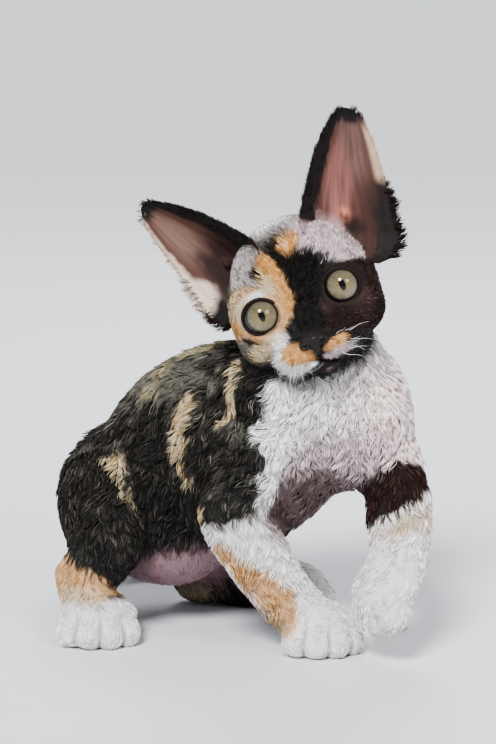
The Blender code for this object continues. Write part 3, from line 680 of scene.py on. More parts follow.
@dataclass(frozen=True)
class Finish:
    """A surface whose colour is painted on the mesh.

    Attributes:
        name: The material's name.
        roughness: How matt it is.
        sheen: Soft light along its edges.
        coat: A clear wet layer.
        specular: Strength of its own shine.
        bump: Height of its fine grain in metres.
        grain: How many grains there are to a metre.
        glow_through: Share of light that spreads inside it.
        mottle: The darkest and the lightest share of its colour.
    """

    name: str
    roughness: float = 0.7
    sheen: float = 0.0
    coat: float = 0.0
    specular: float = 0.4
    bump: float = 0.0
    grain: float = 1500.0
    glow_through: float = 0.0
    mottle: tuple[float, float] = (0.82, 1.16)

    def material(self) -> bpy.types.Material:
        """Builds the material.

        Returns:
            The material.
        """
        made = bpy.data.materials.new(self.name)
        made.use_nodes = True
        nodes, links = made.node_tree.nodes, made.node_tree.links
        shader = nodes["Principled BSDF"]
        paint = nodes.new("ShaderNodeAttribute")
        paint.attribute_name = "paint"
        shade = nodes.new("ShaderNodeTexNoise")
        shade.inputs["Scale"].default_value = self.grain * 0.4
        shade.inputs["Detail"].default_value = 3.0
        ramp = nodes.new("ShaderNodeMapRange")
        ramp.inputs["To Min"].default_value, ramp.inputs["To Max"].default_value = self.mottle
        mix = nodes.new("ShaderNodeMix")
        mix.data_type = "RGBA"
        mix.blend_type = "MULTIPLY"
        mix.inputs["Factor"].default_value = 1.0
        links.new(shade.outputs["Fac"], ramp.inputs["Value"])
        links.new(paint.outputs["Color"], mix.inputs["A"])
        links.new(ramp.outputs["Result"], mix.inputs["B"])
        links.new(mix.outputs["Result"], shader.inputs["Base Color"])
        values = {
            "Roughness": self.roughness,
            "Specular IOR Level": self.specular,
            "Sheen Weight": self.sheen,
            "Sheen Roughness": 0.4,
            "Coat Weight": self.coat,
            "Coat Roughness": 0.03,
        }
        if self.glow_through:
            values["Subsurface Weight"] = self.glow_through
            values["Subsurface Radius"] = (1.0, 0.35, 0.25)
            values["Subsurface Scale"] = 0.002
        for socket, value in values.items():
            shader.inputs[socket].default_value = value
        if self.bump:
            fine = nodes.new("ShaderNodeTexNoise")
            fine.inputs["Scale"].default_value = self.grain
            fine.inputs["Detail"].default_value = 4.0
            rise = nodes.new("ShaderNodeBump")
            rise.inputs["Distance"].default_value = self.bump
            links.new(fine.outputs["Fac"], rise.inputs["Height"])
            links.new(rise.outputs["Normal"], shader.inputs["Normal"])
        return made


SKIN = Finish("skin", roughness=0.62, specular=0.3, bump=0.0004, grain=900.0, glow_through=0.08)
FUR = Finish("fur", roughness=0.55, sheen=0.02, specular=0.12, grain=700.0)
EAR_SKIN = Finish("ear_skin", roughness=0.5, specular=0.35, bump=0.0002, grain=1300.0, glow_through=0.2)
LID_RIM = Finish("lid_rim", roughness=0.5, specular=0.14, bump=0.0001, grain=2500.0)
NOSE_LEATHER = Finish("nose_leather", roughness=0.5, specular=0.35, coat=0.08, bump=0.00025, grain=2200.0)
WET_EYE = Finish("wet_eye", roughness=0.12, specular=0.2, coat=0.6, grain=2600.0)
HORN = Finish("horn", roughness=0.3, specular=0.5)
WHISKER = Finish("whisker_hair", roughness=0.4, specular=0.5)


def mesh_piece(name: str, points: Rows, faces: Rows, paint: Rows, finish: Finish) -> bpy.types.Object:
    """A new piece from arrays, riding on the model.

    Args:
        name: The piece's name.
        points: Its corners in millimetres.
        faces: Rows of three or four corner numbers.
        paint: A colour for each corner.
        finish: The finish that shows the paint.

    Returns:
        The object, linked to the scene.
    """
    mesh = bpy.data.meshes.new(name)
    mesh.vertices.add(len(points))
    mesh.vertices.foreach_set("co", (points * MM).astype(np.float32).ravel())
    sides = faces.shape[1]
    mesh.loops.add(faces.size)
    mesh.loops.foreach_set("vertex_index", faces.astype(np.int32).ravel())
    mesh.polygons.add(len(faces))
    mesh.polygons.foreach_set("loop_start", np.arange(0, faces.size, sides, dtype=np.int32))
    mesh.update(calc_edges=True)
    mesh.shade_smooth()
    painted(mesh, paint)
    made = bpy.data.objects.new(name, mesh)
    bpy.context.scene.collection.objects.link(made)
    made.data.materials.append(finish.material())
    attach(made, "root")
    return made


def painted(mesh: bpy.types.Mesh, paint: Rows) -> None:
    """Stores a colour for each corner of the mesh.

    Args:
        mesh: The mesh.
        paint: The colours.
    """
    layer = mesh.color_attributes.new("paint", "FLOAT_COLOR", "POINT")
    full = np.ones((len(paint), 4), dtype=np.float32)
    full[:, :3] = np.clip(paint, 0, 1)
    layer.data.foreach_set("color", full.ravel())


def read(
    source: bpy.types.bpy_prop_collection, what: str, width: int, kind: type = np.float32
) -> Rows:
    """One value or vector of each item.

    Args:
        source: The items.
        what: The name of what is read.
        width: How many numbers each item has.
        kind: The kind of number.

    Returns:
        A row for each item.
    """
    found = np.empty(len(source) * width, dtype=kind)
    source.foreach_get(what, found)
    return found.reshape(-1, width)


def corners(mesh: bpy.types.Mesh) -> Rows:
    """The mesh's corners in its own units."""
    return read(mesh.vertices, "co", 3).astype(float)


def set_corners(mesh: bpy.types.Mesh, points: Rows) -> None:
    """Moves the mesh's corners."""
    mesh.vertices.foreach_set("co", points.astype(np.float32).ravel())
    mesh.update()


def normals_of(mesh: bpy.types.Mesh) -> Rows:
    """The mesh's outward direction at each corner."""
    return read(mesh.vertex_normals, "vector", 3).astype(float)


def smooth_path(points: Rows, radii: Rows, steps: int) -> tuple[Rows, Rows]:
    """Points and radii along a Catmull-Rom curve through the given ones.

    Args:
        points: Places along the curve.
        radii: One or more radii at each.
        steps: How many places are made from one to the next.

    Returns:
        The places and the radii along the curve.
    """
    points, radii = np.asarray(points, float), np.asarray(radii, float)
    both = np.concatenate([points, radii], axis=1)
    ends = np.concatenate([[both[0] * 2 - both[1]], both, [both[-1] * 2 - both[-2]]])
    ends[0, 3:], ends[-1, 3:] = both[0, 3:], both[-1, 3:]
    made = []
    for a, b, c, d in zip(ends, ends[1:], ends[2:], ends[3:]):
        for t in np.arange(steps) / steps:
            made.append(
                (-0.5 * t + t * t - 0.5 * t**3) * a
                + (1 - 2.5 * t * t + 1.5 * t**3) * b
                + (0.5 * t + 2 * t * t - 1.5 * t**3) * c
                + (-0.5 * t * t + 0.5 * t**3) * d
            )
    made = np.array([*made, both[-1]])
    return made[:, :3], made[:, 3:]


class Clay:
    """Simple closed shapes and how they are fused, in millimetres."""

    @staticmethod
    def linked(bm: bmesh.types.BMesh, name: str = "clay") -> bpy.types.Object:
        """A new object from a bmesh, facing outward.

        Args:
            bm: The shape, which is used up.
            name: The object's name.

        Returns:
            The object, linked to the scene.
        """
        bm.normal_update()
        bmesh.ops.recalc_face_normals(bm, faces=bm.faces)
        if bm.calc_volume(signed=True) < 0:
            bmesh.ops.reverse_faces(bm, faces=bm.faces)
        mesh = bpy.data.meshes.new(name)
        bm.to_mesh(mesh)
        bm.free()
        made = bpy.data.objects.new(name, mesh)
        bpy.context.scene.collection.objects.link(made)
        return made

    @staticmethod
    def facing(direction: tuple, up: tuple = (0.05, 0.02, 1)) -> Matrix:
        """A rotation that carries x onto the direction, and z as near up as it can.

        Args:
            direction: The direction.
            up: What is up.

        Returns:
            The rotation.
        """
        x = Vector(direction).normalized()
        y = Vector(up).cross(x).normalized()
        return Matrix((x, y, x.cross(y))).transposed()

    @classmethod
    def ball(cls, centre: tuple, radii: tuple, turn: Matrix = Matrix()) -> bpy.types.Object:
        """An ellipsoid.

        Args:
            centre: Its middle.
            radii: Its reach along its own axes.
            turn: The rotation of its own axes.

        Returns:
            The ellipsoid.
        """
        bm = bmesh.new()
        bmesh.ops.create_uvsphere(bm, u_segments=32, v_segments=21, radius=1)
        bm.transform(Matrix.Translation(Vector(centre)) @ turn.to_4x4() @ Matrix.Diagonal((*radii, 1)))
        return cls.linked(bm)

    @classmethod
    def tube(
        cls, points: Rows, radii: Rows, sides: int = 28, steps: int = 6, up: tuple = (0, 0, 1)
    ) -> bpy.types.Object:
        """A closed limb with rounded ends.

        Args:
            points: Places along its middle line.
            radii: Its reach sideways and upright at each place.
            sides: How many sides its section has.
            steps: How many rings it has from place to place.
            up: What its upright reach keeps near to.

        Returns:
            The limb.
        """
        path, widths = smooth_path(points, radii, steps)
        ways = unit(np.gradient(path, axis=0))
        rings = [(p, w, r) for p, w, r in zip(path, ways, widths)]
        for angle in (35, 62):
            out, keep = math.sin(math.radians(angle)), math.cos(math.radians(angle))
            rings.insert(0, (path[0] - ways[0] * out * min(widths[0]), ways[0], widths[0] * keep))
            rings.append((path[-1] + ways[-1] * out * min(widths[-1]), ways[-1], widths[-1] * keep))
        bm = bmesh.new()
        loops = []
        for centre, along, width in rings:
            side = Vector(up).cross(Vector(along)).normalized()
            rise = Vector(along).cross(side).normalized()
            turn = [2 * math.pi * k / sides for k in range(sides)]
            section = [side * width[0] * math.cos(a) + rise * width[-1] * math.sin(a) for a in turn]
            loops.append([bm.verts.new(Vector(centre) + offset) for offset in section])
        for low, high in zip(loops, loops[1:]):
            for k in range(sides):
                n = (k + 1) % sides
                bm.faces.new((low[k], low[n], high[n], high[k]))
        for loop, end, out in ((loops[0], 0, -1), (loops[-1], -1, 1)):
            pole = bm.verts.new(Vector(path[end] + ways[end] * out * min(widths[end])))
            for k in range(sides):
                bm.faces.new((loop[k], loop[(k + 1) % sides], pole))
        return cls.linked(bm)

    @staticmethod
    def settled(obj: bpy.types.Object) -> bpy.types.Object:
        """Applies the object's modifiers.

        Args:
            obj: The object.

        Returns:
            The same object, with its own mesh as changed.
        """
        bpy.context.view_layer.update()
        graph = bpy.context.evaluated_depsgraph_get()
        mesh = bpy.data.meshes.new_from_object(obj.evaluated_get(graph))
        obj.modifiers.clear()
        obj.data = mesh
        return obj

    @classmethod
    def fused(cls, objects: list, voxel: float, smoothing: int) -> bpy.types.Object:
        """Overlapping closed shapes as one skin, with the creases between them smoothed.

        Args:
            objects: The shapes, which are used up.
            voxel: How finely they are fused.
            smoothing: How many times the skin is smoothed.

        Returns:
            The skin.
        """
        bm = bmesh.new()
        for obj in objects:
            bm.from_mesh(obj.data)
            bpy.data.objects.remove(obj)
        whole = cls.linked(bm)
        remesh = whole.modifiers.new("fuse", "REMESH")
        remesh.mode = "VOXEL"
        remesh.voxel_size = voxel
        if smoothing:
            soften = whole.modifiers.new("soften", "SMOOTH")
            soften.factor = 0.5
            soften.iterations = smoothing
        return cls.settled(whole)

    @classmethod
    def pairs(cls, masses: list[tuple]) -> list[bpy.types.Object]:
        """A ball for each mass, and a second one across the middle where it stands off it."""
        return [cls.ball(centre, radii) for centre, radii in both_sides(masses)]


@dataclass
class BodyForm:
    """The masses of the trunk, limbs and tail, in the body's frame.

    Attributes:
        trunk: From rump to breast: a place, then half width and half height.
        neck: A place and a radius, from its root to the skull.
        masses: Shoulders, breast, haunches and belly: middle, radii and the first radius's way.
        fore: Shoulder, elbow, wrist, paw and the way the paw points, right then left.
        hind: Hip, knee, hock, paw and the way the paw points, right then left.
        upper_arm: Radii at its start, middle and end, as of the four lengths below it.
        paw: Half length, half width and half height.
        toe_spread: How far each toe is across the paw.
        toe_reach: How far each toe is ahead of the paw's middle.
        tail: A place and a radius, from its root to its tip.
    """

    trunk: tuple = (
        (-72, 0, 60, 24, 26),
        (-52, 0, 64, 34, 37),
        (-26, 0, 74, 36, 46),
        (0, 0, 85, 35, 45),
        (26, 3, 95, 32, 38),
        (44, 6, 97, 28, 31),
        (55, 7, 97, 20, 24),
    )
    neck: tuple = ((32, 4, 106, 31), (36, 3, 122, 28), (30, -1, 142, 22))
    masses: tuple = (
        ((24, -19, 97), (21, 14, 31), (1, 0, 0.5)),
        ((49, 21, 103), (20, 16, 27), (1, 0, 0.3)),
        ((52, 6, 93), (17, 21, 24), (1, 0, 0)),
        ((-58, -27, 53), (28, 18, 31), (1, -0.15, 0.25)),
        ((-56, 25, 58), (28, 17, 31), (1, 0.15, 0.25)),
        ((-39, -8, 44), (35, 26, 28), (1, 0, 0.15)),
    )
    fore: tuple = (
        ((28, -19, 92), (16, -33, 61), (29, -11, 22), (39, -2, 10), (0.78, -0.62, 0)),
        ((50, 20, 95), (68, 15, 68), (75, 6, 42), (72, 1, 32), (-0.3, -0.55, -0.75)),
    )
    hind: tuple = (
        ((-60, -20, 68), (-38, -43, 42), (-59, -43, 23), (-43, -49, 10), (0.7, -0.72, 0)),
        ((-60, 20, 66), (-20, 42, 44), (-46, 21, 12), (-9, 41, 10), (0.85, 0.52, 0)),
    )
    upper_arm: tuple = ((17, 19), (15.5, 16.5), (13.5, 14))
    forearm: tuple = ((14.5, 15), (14.5, 14.5), (13, 13))
    thigh: tuple = ((18, 22), (16, 20), (13, 16))
    shank: tuple = ((13, 15), (12.5, 14.5), (12, 12))
    pastern: tuple = ((12, 12), (12.2, 11.5), (12.5, 10))
    paw: tuple = (17.5, 16.8, 11)
    toe_radius: float = 6.6
    toe_spread: tuple = (-11.6, -4.1, 4.1, 11.6)
    toe_reach: tuple = (9.2, 13.0, 13.0, 9.2)
    tail: tuple = (
        (-81, 1, 69, 10),
        (-98, 6, 57, 8),
        (-107, 18, 34, 7),
        (-103, 34, 14, 6.6),
        (-86, 48, 6, 6.2),
        (-60, 57, 5.3, 5.6),
        (-36, 61, 4.5, 4.8),
    )

    @staticmethod
    def length(start: Rows, end: Rows, radii: tuple, up: tuple = (0, 0, 1)) -> bpy.types.Object:
        """One length of a limb between two joints."""
        start, end = np.array(start, float), np.array(end, float)
        return Clay.tube([start, (start + end) / 2, end], radii, up=up)

    @staticmethod
    def chain(stations: tuple, *shape: int, up: tuple = (0, 0, 1)) -> bpy.types.Object:
        """A tube through stations of a place and one or two radii."""
        return Clay.tube([s[:3] for s in stations], [(s[3], s[-1]) for s in stations], *shape, up=up)

    def limbs(self) -> list:
        """Upper arms, forearms, thighs and shanks.

        Returns:
            Two lengths for each limb.
        """
        made = []
        for shoulder, elbow, wrist, _, _ in self.fore:
            made.append(self.length(shoulder, elbow, self.upper_arm, (1, 0, 0)))
            made.append(self.length(elbow, wrist, self.forearm, (0, 1, 0)))
        for hip, knee, hock, _, _ in self.hind:
            made += [self.length(hip, knee, self.thigh), self.length(knee, hock, self.shank)]
        return made

    def core(self) -> bpy.types.Object:
        """Trunk, neck and limbs fused.

        Returns:
            The skin that they share.
        """
        balls = [Clay.ball(c, r, Clay.facing(d)) for c, r, d in self.masses]
        made = [self.chain(self.trunk), *balls, self.chain(self.neck, up=(1, 0, 0)), *self.limbs()]
        return Clay.fused(made, 1.8, 9)

    def toes(self, place: Rows, toward: tuple) -> list[tuple[Rows, Matrix]]:
        """Where each toe of a paw is, and how it is turned.

        Args:
            place: The middle of the paw.
            toward: The way it points.

        Returns:
            The middle and the rotation of each toe.
        """
        turn = Clay.facing(toward)
        drop = self.toe_radius - self.paw[2] - 0.4
        made = []
        for across, ahead in zip(self.toe_spread, self.toe_reach):
            made.append((np.array(Vector(place) + turn @ Vector((ahead, across, drop))), turn))
        return made

    def creases(self, points: Rows) -> Rows:
        """1 in the clefts between the toes, 0 away from them.

        Args:
            points: Places in the kitten's frame.

        Returns:
            A share for each place.
        """
        made = np.zeros(len(points))
        for _, _, _, place, toward in self.fore + self.hind:
            toes = self.toes(np.array(place, float), toward)
            for (a, turn), (b, _) in zip(toes, toes[1:]):
                apart = points - BODY_SHIFT - (a + b) / 2
                across = apart @ unit(b - a)
                ahead = apart @ np.array(turn)[:, 0]
                near = np.exp(-((across / 0.8) ** 2)) * smooth_step(-1.0, 5.0, ahead)
                made = np.maximum(made, near * (np.linalg.norm(apart, axis=1) < 12))
        return made

    def feet(self) -> list:
        """The four paws with their toes.

        Returns:
            The paws, toes and pasterns.
        """
        made = []
        size = (self.toe_radius * 1.25, self.toe_radius, self.toe_radius * 1.05)
        for _, _, root, place, toward in self.fore + self.hind:
            turn = Clay.facing(toward)
            made.append(Clay.ball(place, self.paw, turn))
            made.append(self.length(root, place, self.pastern, tuple(turn @ Vector((0, 1, 0)))))
            made += [Clay.ball(tuple(at), size, spin) for at, spin in self.toes(place, toward)]
        return made

    def skin(self) -> bpy.types.Object:
        """The whole body, with its paws and tail."""
        whole = Clay.fused([self.core(), *self.feet()], 1.1, 6)
        return Clay.fused([whole, self.chain(self.tail, 20, 5)], 1.1, 2)


BODY = BodyForm()


@dataclass
class Skin:
    """One skin for all the flesh, sunk below the coat's tips.

    Attributes:
        voxel: How finely the whole is fused.
        curled_depth: How deep the curled coat is.
        short_depth: How deep the short coat of the limbs is.
        paw_depth: How deep the coat of the paws is.
        face_depth: How deep the coat of the face is.
        nape_depth: How much deeper it is at the back of the head.
        mouth_heart: The place inside the head that the mouth's line is cast from.
        lip_split: Ways from there to the line under the nose.
        lips: Ways to the left half of the line of the lips.
        groove_depth: How deep the line of the mouth is cut.
        groove_width: How wide it is cut.
        crease_depth: How deep the clefts between the toes are cut.
        fine: Middle and radii of the muzzle and of the eyes, where its faces are finer.
    """

    voxel: float = 0.9
    curled_depth: float = 2.9
    short_depth: float = 1.5
    paw_depth: float = 0.5
    face_depth: float = 0.7
    nape_depth: float = 0.9
    mouth_heart: Spot = (4, 0, -24)
    lip_split: tuple = ((20, 0, 4.4), (20, 0, 0.5))
    lips: tuple = ((19, 1.6, -1.8), (16, 5.4, -3.4), (12, 9, -3.4), (7, 12, -1.6))
    groove_depth: float = 1.3
    groove_width: float = 0.55
    crease_depth: float = 0.9
    fine: tuple = (((13, 0, -21), (13, 15, 12)), ((4, 17.4, 0), (12.5, 12.5, 12.5)))

    def head(self) -> bpy.types.Object:
        """The head without ears, in the kitten's frame.

        Returns:
            The head.
        """
        skull = Clay.fused(Clay.pairs(FORM.skull), 1.6, 16)
        bridge = Clay.tube([p for p, _ in FORM.bridge], [(r, r) for _, r in FORM.bridge], up=(0, 1, 0))
        face = Clay.fused([skull, bridge, *Clay.pairs(FORM.face)], 0.8, 8)
        head = Clay.fused([face, Clay.ball(*FORM.nose)], 0.7, 2)
        head.data.transform(PLACE.matrix())
        return head

    def depth(self, points: Rows) -> Rows:
        """How far the skin lies below the coat's tips at each point.

        Args:
            points: Places in the kitten's frame.

        Returns:
            A depth for each place.
        """
        curl = PLAN.curliness(points)
        made = self.short_depth + (self.curled_depth - self.short_depth) * curl
        made += (self.paw_depth - made) * PLAN.paw_share(points)
        made *= 1 - 0.7 * PLAN.bareness(points)
        head = MARKINGS.on_head(points)
        back = smooth_step(0, -25, PLACE.inward(points)[:, 0])
        return made * (1 - head) + head * (self.face_depth + self.nape_depth * back)

    def whole(self) -> bpy.types.Object:
        """Head, body and tail fused, then sunk by the coat's depth.

        Returns:
            The skin.
        """
        body = BODY.skin()
        body.data.transform(Matrix.Translation(Vector(BODY_SHIFT)))
        skin = Clay.fused([body, self.head()], self.voxel, 3)
        points = corners(skin.data)
        points -= normals_of(skin.data) * self.depth(points)[:, None]
        points[:, 2] = np.maximum(points[:, 2], SKIN_FLOOR)
        set_corners(skin.data, points)
        return skin

    def refined(self, skin: bpy.types.Object) -> bpy.types.Object:
        """Splits the faces round the mouth and eyes finer.

        Args:
            skin: The skin.

        Returns:
            The same skin.
        """
        bm = bmesh.new()
        bm.from_mesh(skin.data)
        for reach in (1.0, 0.72):
            inside = PLACE.inward(np.array([e.verts[0].co for e in bm.edges]))
            near = np.zeros(len(inside), bool)
            for centre, radii in both_sides(self.fine):
                near |= np.linalg.norm((inside - np.array(centre)) / np.array(radii), axis=1) < reach
            chosen = [e for e, take in zip(bm.edges, near) if take]
            bmesh.ops.subdivide_edges(bm, edges=chosen, cuts=1, use_grid_fill=True, smooth=0.0)
        bmesh.ops.triangulate(bm, faces=[f for f in bm.faces if len(f.verts) > 4])
        bm.to_mesh(skin.data)
        bm.free()
        return skin

    def mouth_path(self, tree: BVHTree) -> list[Rows]:
        """The line under the nose and the line of the lips, in the head's frame.

        Args:
            tree: The skin, to find where the ways leave it.

        Returns:
            The two lines.
        """
        heart = PLACE.outward(np.array([self.mouth_heart], float))[0]
        right = [(x, -y, z) for x, y, z in reversed(self.lips)]
        made = []
        for line in (self.lip_split, [*right, self.lip_split[1], *self.lips]):
            ways = [Vector(PLACE.spin() @ np.array(way, float)) for way in line]
            found = [np.array(tree.ray_cast(Vector(heart), way)[0]) for way in ways]
            smooth, _ = smooth_path(found, np.ones((len(found), 1)), 4)
            made.append(PLACE.inward(smooth))
        return made

    def carved(self, skin: bpy.types.Object) -> Rows:
        """Cuts the mouth, the sockets and the folds of the lids.

        Args:
            skin: The skin.

        Returns:
            How near each of its corners is to the lips.
        """
        mesh = skin.data
        tree = BVHTree.FromObject(skin, bpy.context.evaluated_depsgraph_get())
        points, outward = corners(mesh), normals_of(mesh)
        self.mouth = self.mouth_path(tree)
        close = lip_distance(PLACE.inward(points), self.mouth)
        sink = -self.groove_depth * np.exp(-((close / self.groove_width) ** 2))
        sink += 0.35 * np.exp(-(((close - 1.5) / 0.8) ** 2))
        sink -= self.crease_depth * BODY.creases(points)
        points += outward * sink[:, None]
        points[:, 2] = np.maximum(points[:, 2], SKIN_FLOOR)
        inside = PLACE.inward(points)
        for side in (1, -1):
            inside = self.socket(inside, side)
        points = PLACE.outward(inside)
        set_corners(mesh, points)
        return close

    def socket(self, inside: Rows, side: int) -> Rows:
        """Opens the skin over one eyeball and lays it close around it.

        Args:
            inside: The skin's corners, in the head's frame.
            side: 1 for the left eye, -1 for the right one.

        Returns:
            The corners as moved.
        """
        apart, edge = FORM.round_eye(inside, side, 0.5)
        reach = np.linalg.norm(apart, axis=1)
        front = (apart[:, 0] > 0) & (reach < 14)
        target = np.where(edge < 1, np.minimum(reach, FORM.eye_radius - 0.7), reach)
        ring = FORM.eye_radius + 0.9 - 0.5 * smooth_step(1.0, 1.5, edge)
        rim = 1 - smooth_step(1.35, 1.7, edge)
        lifted = np.maximum(reach, ring * rim + reach * (1 - rim))
        target = np.where(edge >= 1, lifted, target)
        fold = 0.45 * np.exp(-(((edge - 1.62) / 0.12) ** 2)) * smooth_step(-2, 3, apart[:, 2])
        target = np.where(edge >= 1, target - fold, target)
        factor = np.where(front, target / np.maximum(reach, 1e-6), 1.0)
        return inside + apart * (factor - 1)[:, None]

    def paint(self, points: Rows, close: Rows) -> Rows:
        """The skin's colour, with dark lips and eye surrounds, and painted shade under the coat, in the toe
        clefts and in the mouth's groove.

        Args:
            points: The skin's corners.
            close: How near each is to the lips.

        Returns:
            A colour for each corner.
        """
        made = MARKINGS.colours(points)
        light = made.mean(axis=1) >= 0.1
        # Painted shade under the coat: the skin is painted darker than the coat over it, half as bright
        # under a dark coat
        made = made * np.where(light, 0.86, 0.5)[:, None]
        made = blended(made, (0.42, 0.27, 0.25), 0.12 * (1 - PLAN.bareness(points)) * light)
        # The clefts between the toes: pinkish skin, darkened as painted shade inside them
        made = blended(made, (0.30, 0.16, 0.14), BODY.creases(points) * 0.7)
        # Along the mouth's line: dark lip skin, and painted shade in the groove of the slightly open mouth
        made = blended(made, (0.02, 0.012, 0.012), np.exp(-((close / 0.8) ** 2)) * 0.95)
        for side in (1, -1):
            apart, edge = FORM.round_eye(PLACE.inward(points), side)
            near = (1 - smooth_step(1.02, 1.2, edge)) * (apart[:, 0] > 0)
            made = blended(made, (0.03, 0.018, 0.016), near * 0.85)
        return made

    def build(self) -> bpy.types.Object:
        """Builds and dresses the skin.

        Returns:
            The skin, in metres.
        """
        skin = self.refined(self.whole())
        close = self.carved(skin)
        skin.name = "skin"
        points = corners(skin.data)
        painted(skin.data, self.paint(points, close))
        set_corners(skin.data, points * MM)
        skin.data.shade_smooth()
        skin.data.materials.clear()
        skin.data.materials.append(SKIN.material())
        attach(skin, "root")
        flesh = [n for n in frame["nodes"] if not n.startswith(("eye_", "ear_"))]
        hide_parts(*flesh)
        return skin


@dataclass
class Unwrap:
    """A coarse copy of a surface, laid out flat, that gives each tuft its place on the layout.

    Attributes:
        source: The surface.
        triangles: About how many triangles the copy has.
        fold: Degrees that an island of the layout may turn within itself.
    """

    source: bpy.types.Object
    triangles: int = 7000
    fold: float = 66.0

    def build(self) -> Unwrap:
        """Lays the surface out and keeps what a lookup needs.

        Returns:
            This copy, ready for lookups.
        """
        rough = self.source.copy()
        rough.data = self.source.data.copy()
        bpy.context.scene.collection.objects.link(rough)
        thin = rough.modifiers.new("thin", "DECIMATE")
        thin.ratio = min(1.0, self.triangles / max(1, len(rough.data.polygons) * 2))
        Clay.settled(rough)
        bm = bmesh.new()
        bm.from_mesh(rough.data)
        bmesh.ops.triangulate(bm, faces=bm.faces)
        bm.to_mesh(rough.data)
        bm.free()
        while rough.data.uv_layers:
            rough.data.uv_layers.remove(rough.data.uv_layers[0])
        rough.data.uv_layers.new(name="flat")
        for other in bpy.context.view_layer.objects:
            other.select_set(False)
        rough.select_set(True)
        bpy.context.view_layer.objects.active = rough
        bpy.ops.object.mode_set(mode="EDIT")
        bpy.ops.mesh.select_all(action="SELECT")
        bpy.ops.uv.smart_project(angle_limit=math.radians(self.fold), island_margin=0.006)
        bpy.ops.object.mode_set(mode="OBJECT")
        mesh = rough.data
        self.points = corners(mesh) / MM
        self.faces = read(mesh.loops, "vertex_index", 1, np.int32).reshape(-1, 3)
        self.flat = read(mesh.uv_layers[0].data, "uv", 2).reshape(-1, 3, 2).astype(float)
        self.tree = BVHTree.FromPolygons([tuple(p) for p in self.points], [tuple(f) for f in self.faces])
        bpy.data.objects.remove(rough)
        return self

    def lookup(self, points: Rows) -> Rows:
        """The place on the layout of each point.

        Args:
            points: Places by the surface.

        Returns:
            A place on the layout for each.
        """
        found = np.array([self.tree.find_nearest(tuple(p))[2] for p in points], dtype=int)
        a, b, c = (self.points[self.faces[found, k]] for k in range(3))
        u, v, w = b - a, c - a, points - a
        uu, uv, vv = (u * u).sum(1), (u * v).sum(1), (v * v).sum(1)
        wu, wv = (w * u).sum(1), (w * v).sum(1)
        under = np.maximum(uu * vv - uv * uv, 1e-9)
        s = np.clip((wu * vv - wv * uv) / under, 0, 1)
        t = np.clip((wv * uu - wu * uv) / under, 0, 1 - s)
        flat = self.flat[found]
        to_second, to_third = flat[:, 1] - flat[:, 0], flat[:, 2] - flat[:, 0]
        return flat[:, 0] + to_second * s[:, None] + to_third * t[:, None]


@dataclass
class Roots:
    """Where tufts grow: places, outward directions and the lie of the coat."""

    points: Rows
    normals: Rows
    lies: Rows

    def picked(self, keep: Rows) -> Roots:
        """The roots that a mask keeps."""
        return Roots(self.points[keep], self.normals[keep], self.lies[keep])


@dataclass
class Surface:
    """A piece that hair grows on, ready for sowing and for laying hair along it."""

    source: bpy.types.Object

    def __post_init__(self) -> None:
        """Reads the piece's triangles."""
        mesh = self.source.data
        mesh.calc_loop_triangles()
        self.points = corners(mesh) / MM
        self.normals = normals_of(mesh)
        self.faces = read(mesh.loop_triangles, "vertices", 3, np.int32)
        a, b, c = (self.points[self.faces[:, k]] for k in range(3))
        self.areas = np.linalg.norm(np.cross(b - a, c - a), axis=1) / 2
        self.middles = (a + b + c) / 3
        self.tree = BVHTree.FromPolygons(self.points.tolist(), self.faces.tolist())

    def sown(self, count: int, weight: Rows, rng: np.random.Generator) -> tuple[Rows, Rows]:
        """Random places over the piece.

        Args:
            count: How many places.
            weight: How densely each triangle is sown.
            rng: The seeded source of chance.

        Returns:
            The places and their outward directions.
        """
        chance = self.areas * weight
        faces = rng.choice(len(self.faces), size=count, p=chance / chance.sum())
        u, v = rng.random(count), rng.random(count)
        flip = u + v > 1
        u, v = np.where(flip, 1 - u, u), np.where(flip, 1 - v, v)
        corner = [self.faces[faces, k] for k in range(3)]
        shares = (1 - u - v, u, v)
        points = sum(self.points[c] * s[:, None] for c, s in zip(corner, shares))
        normals = unit(sum(self.normals[c] * s[:, None] for c, s in zip(corner, shares)))
        return points, normals

    def laid(self, points: Rows) -> tuple[Rows, Rows]:
        """The nearest place on the piece to each point, and the outward direction there.

        Args:
            points: The points.

        Returns:
            The places and the directions.
        """
        found = [self.tree.find_nearest(p) for p in points.tolist()]
        places = np.array([f[0] for f in found])
        outward = np.array([f[1] for f in found])
        return places, outward


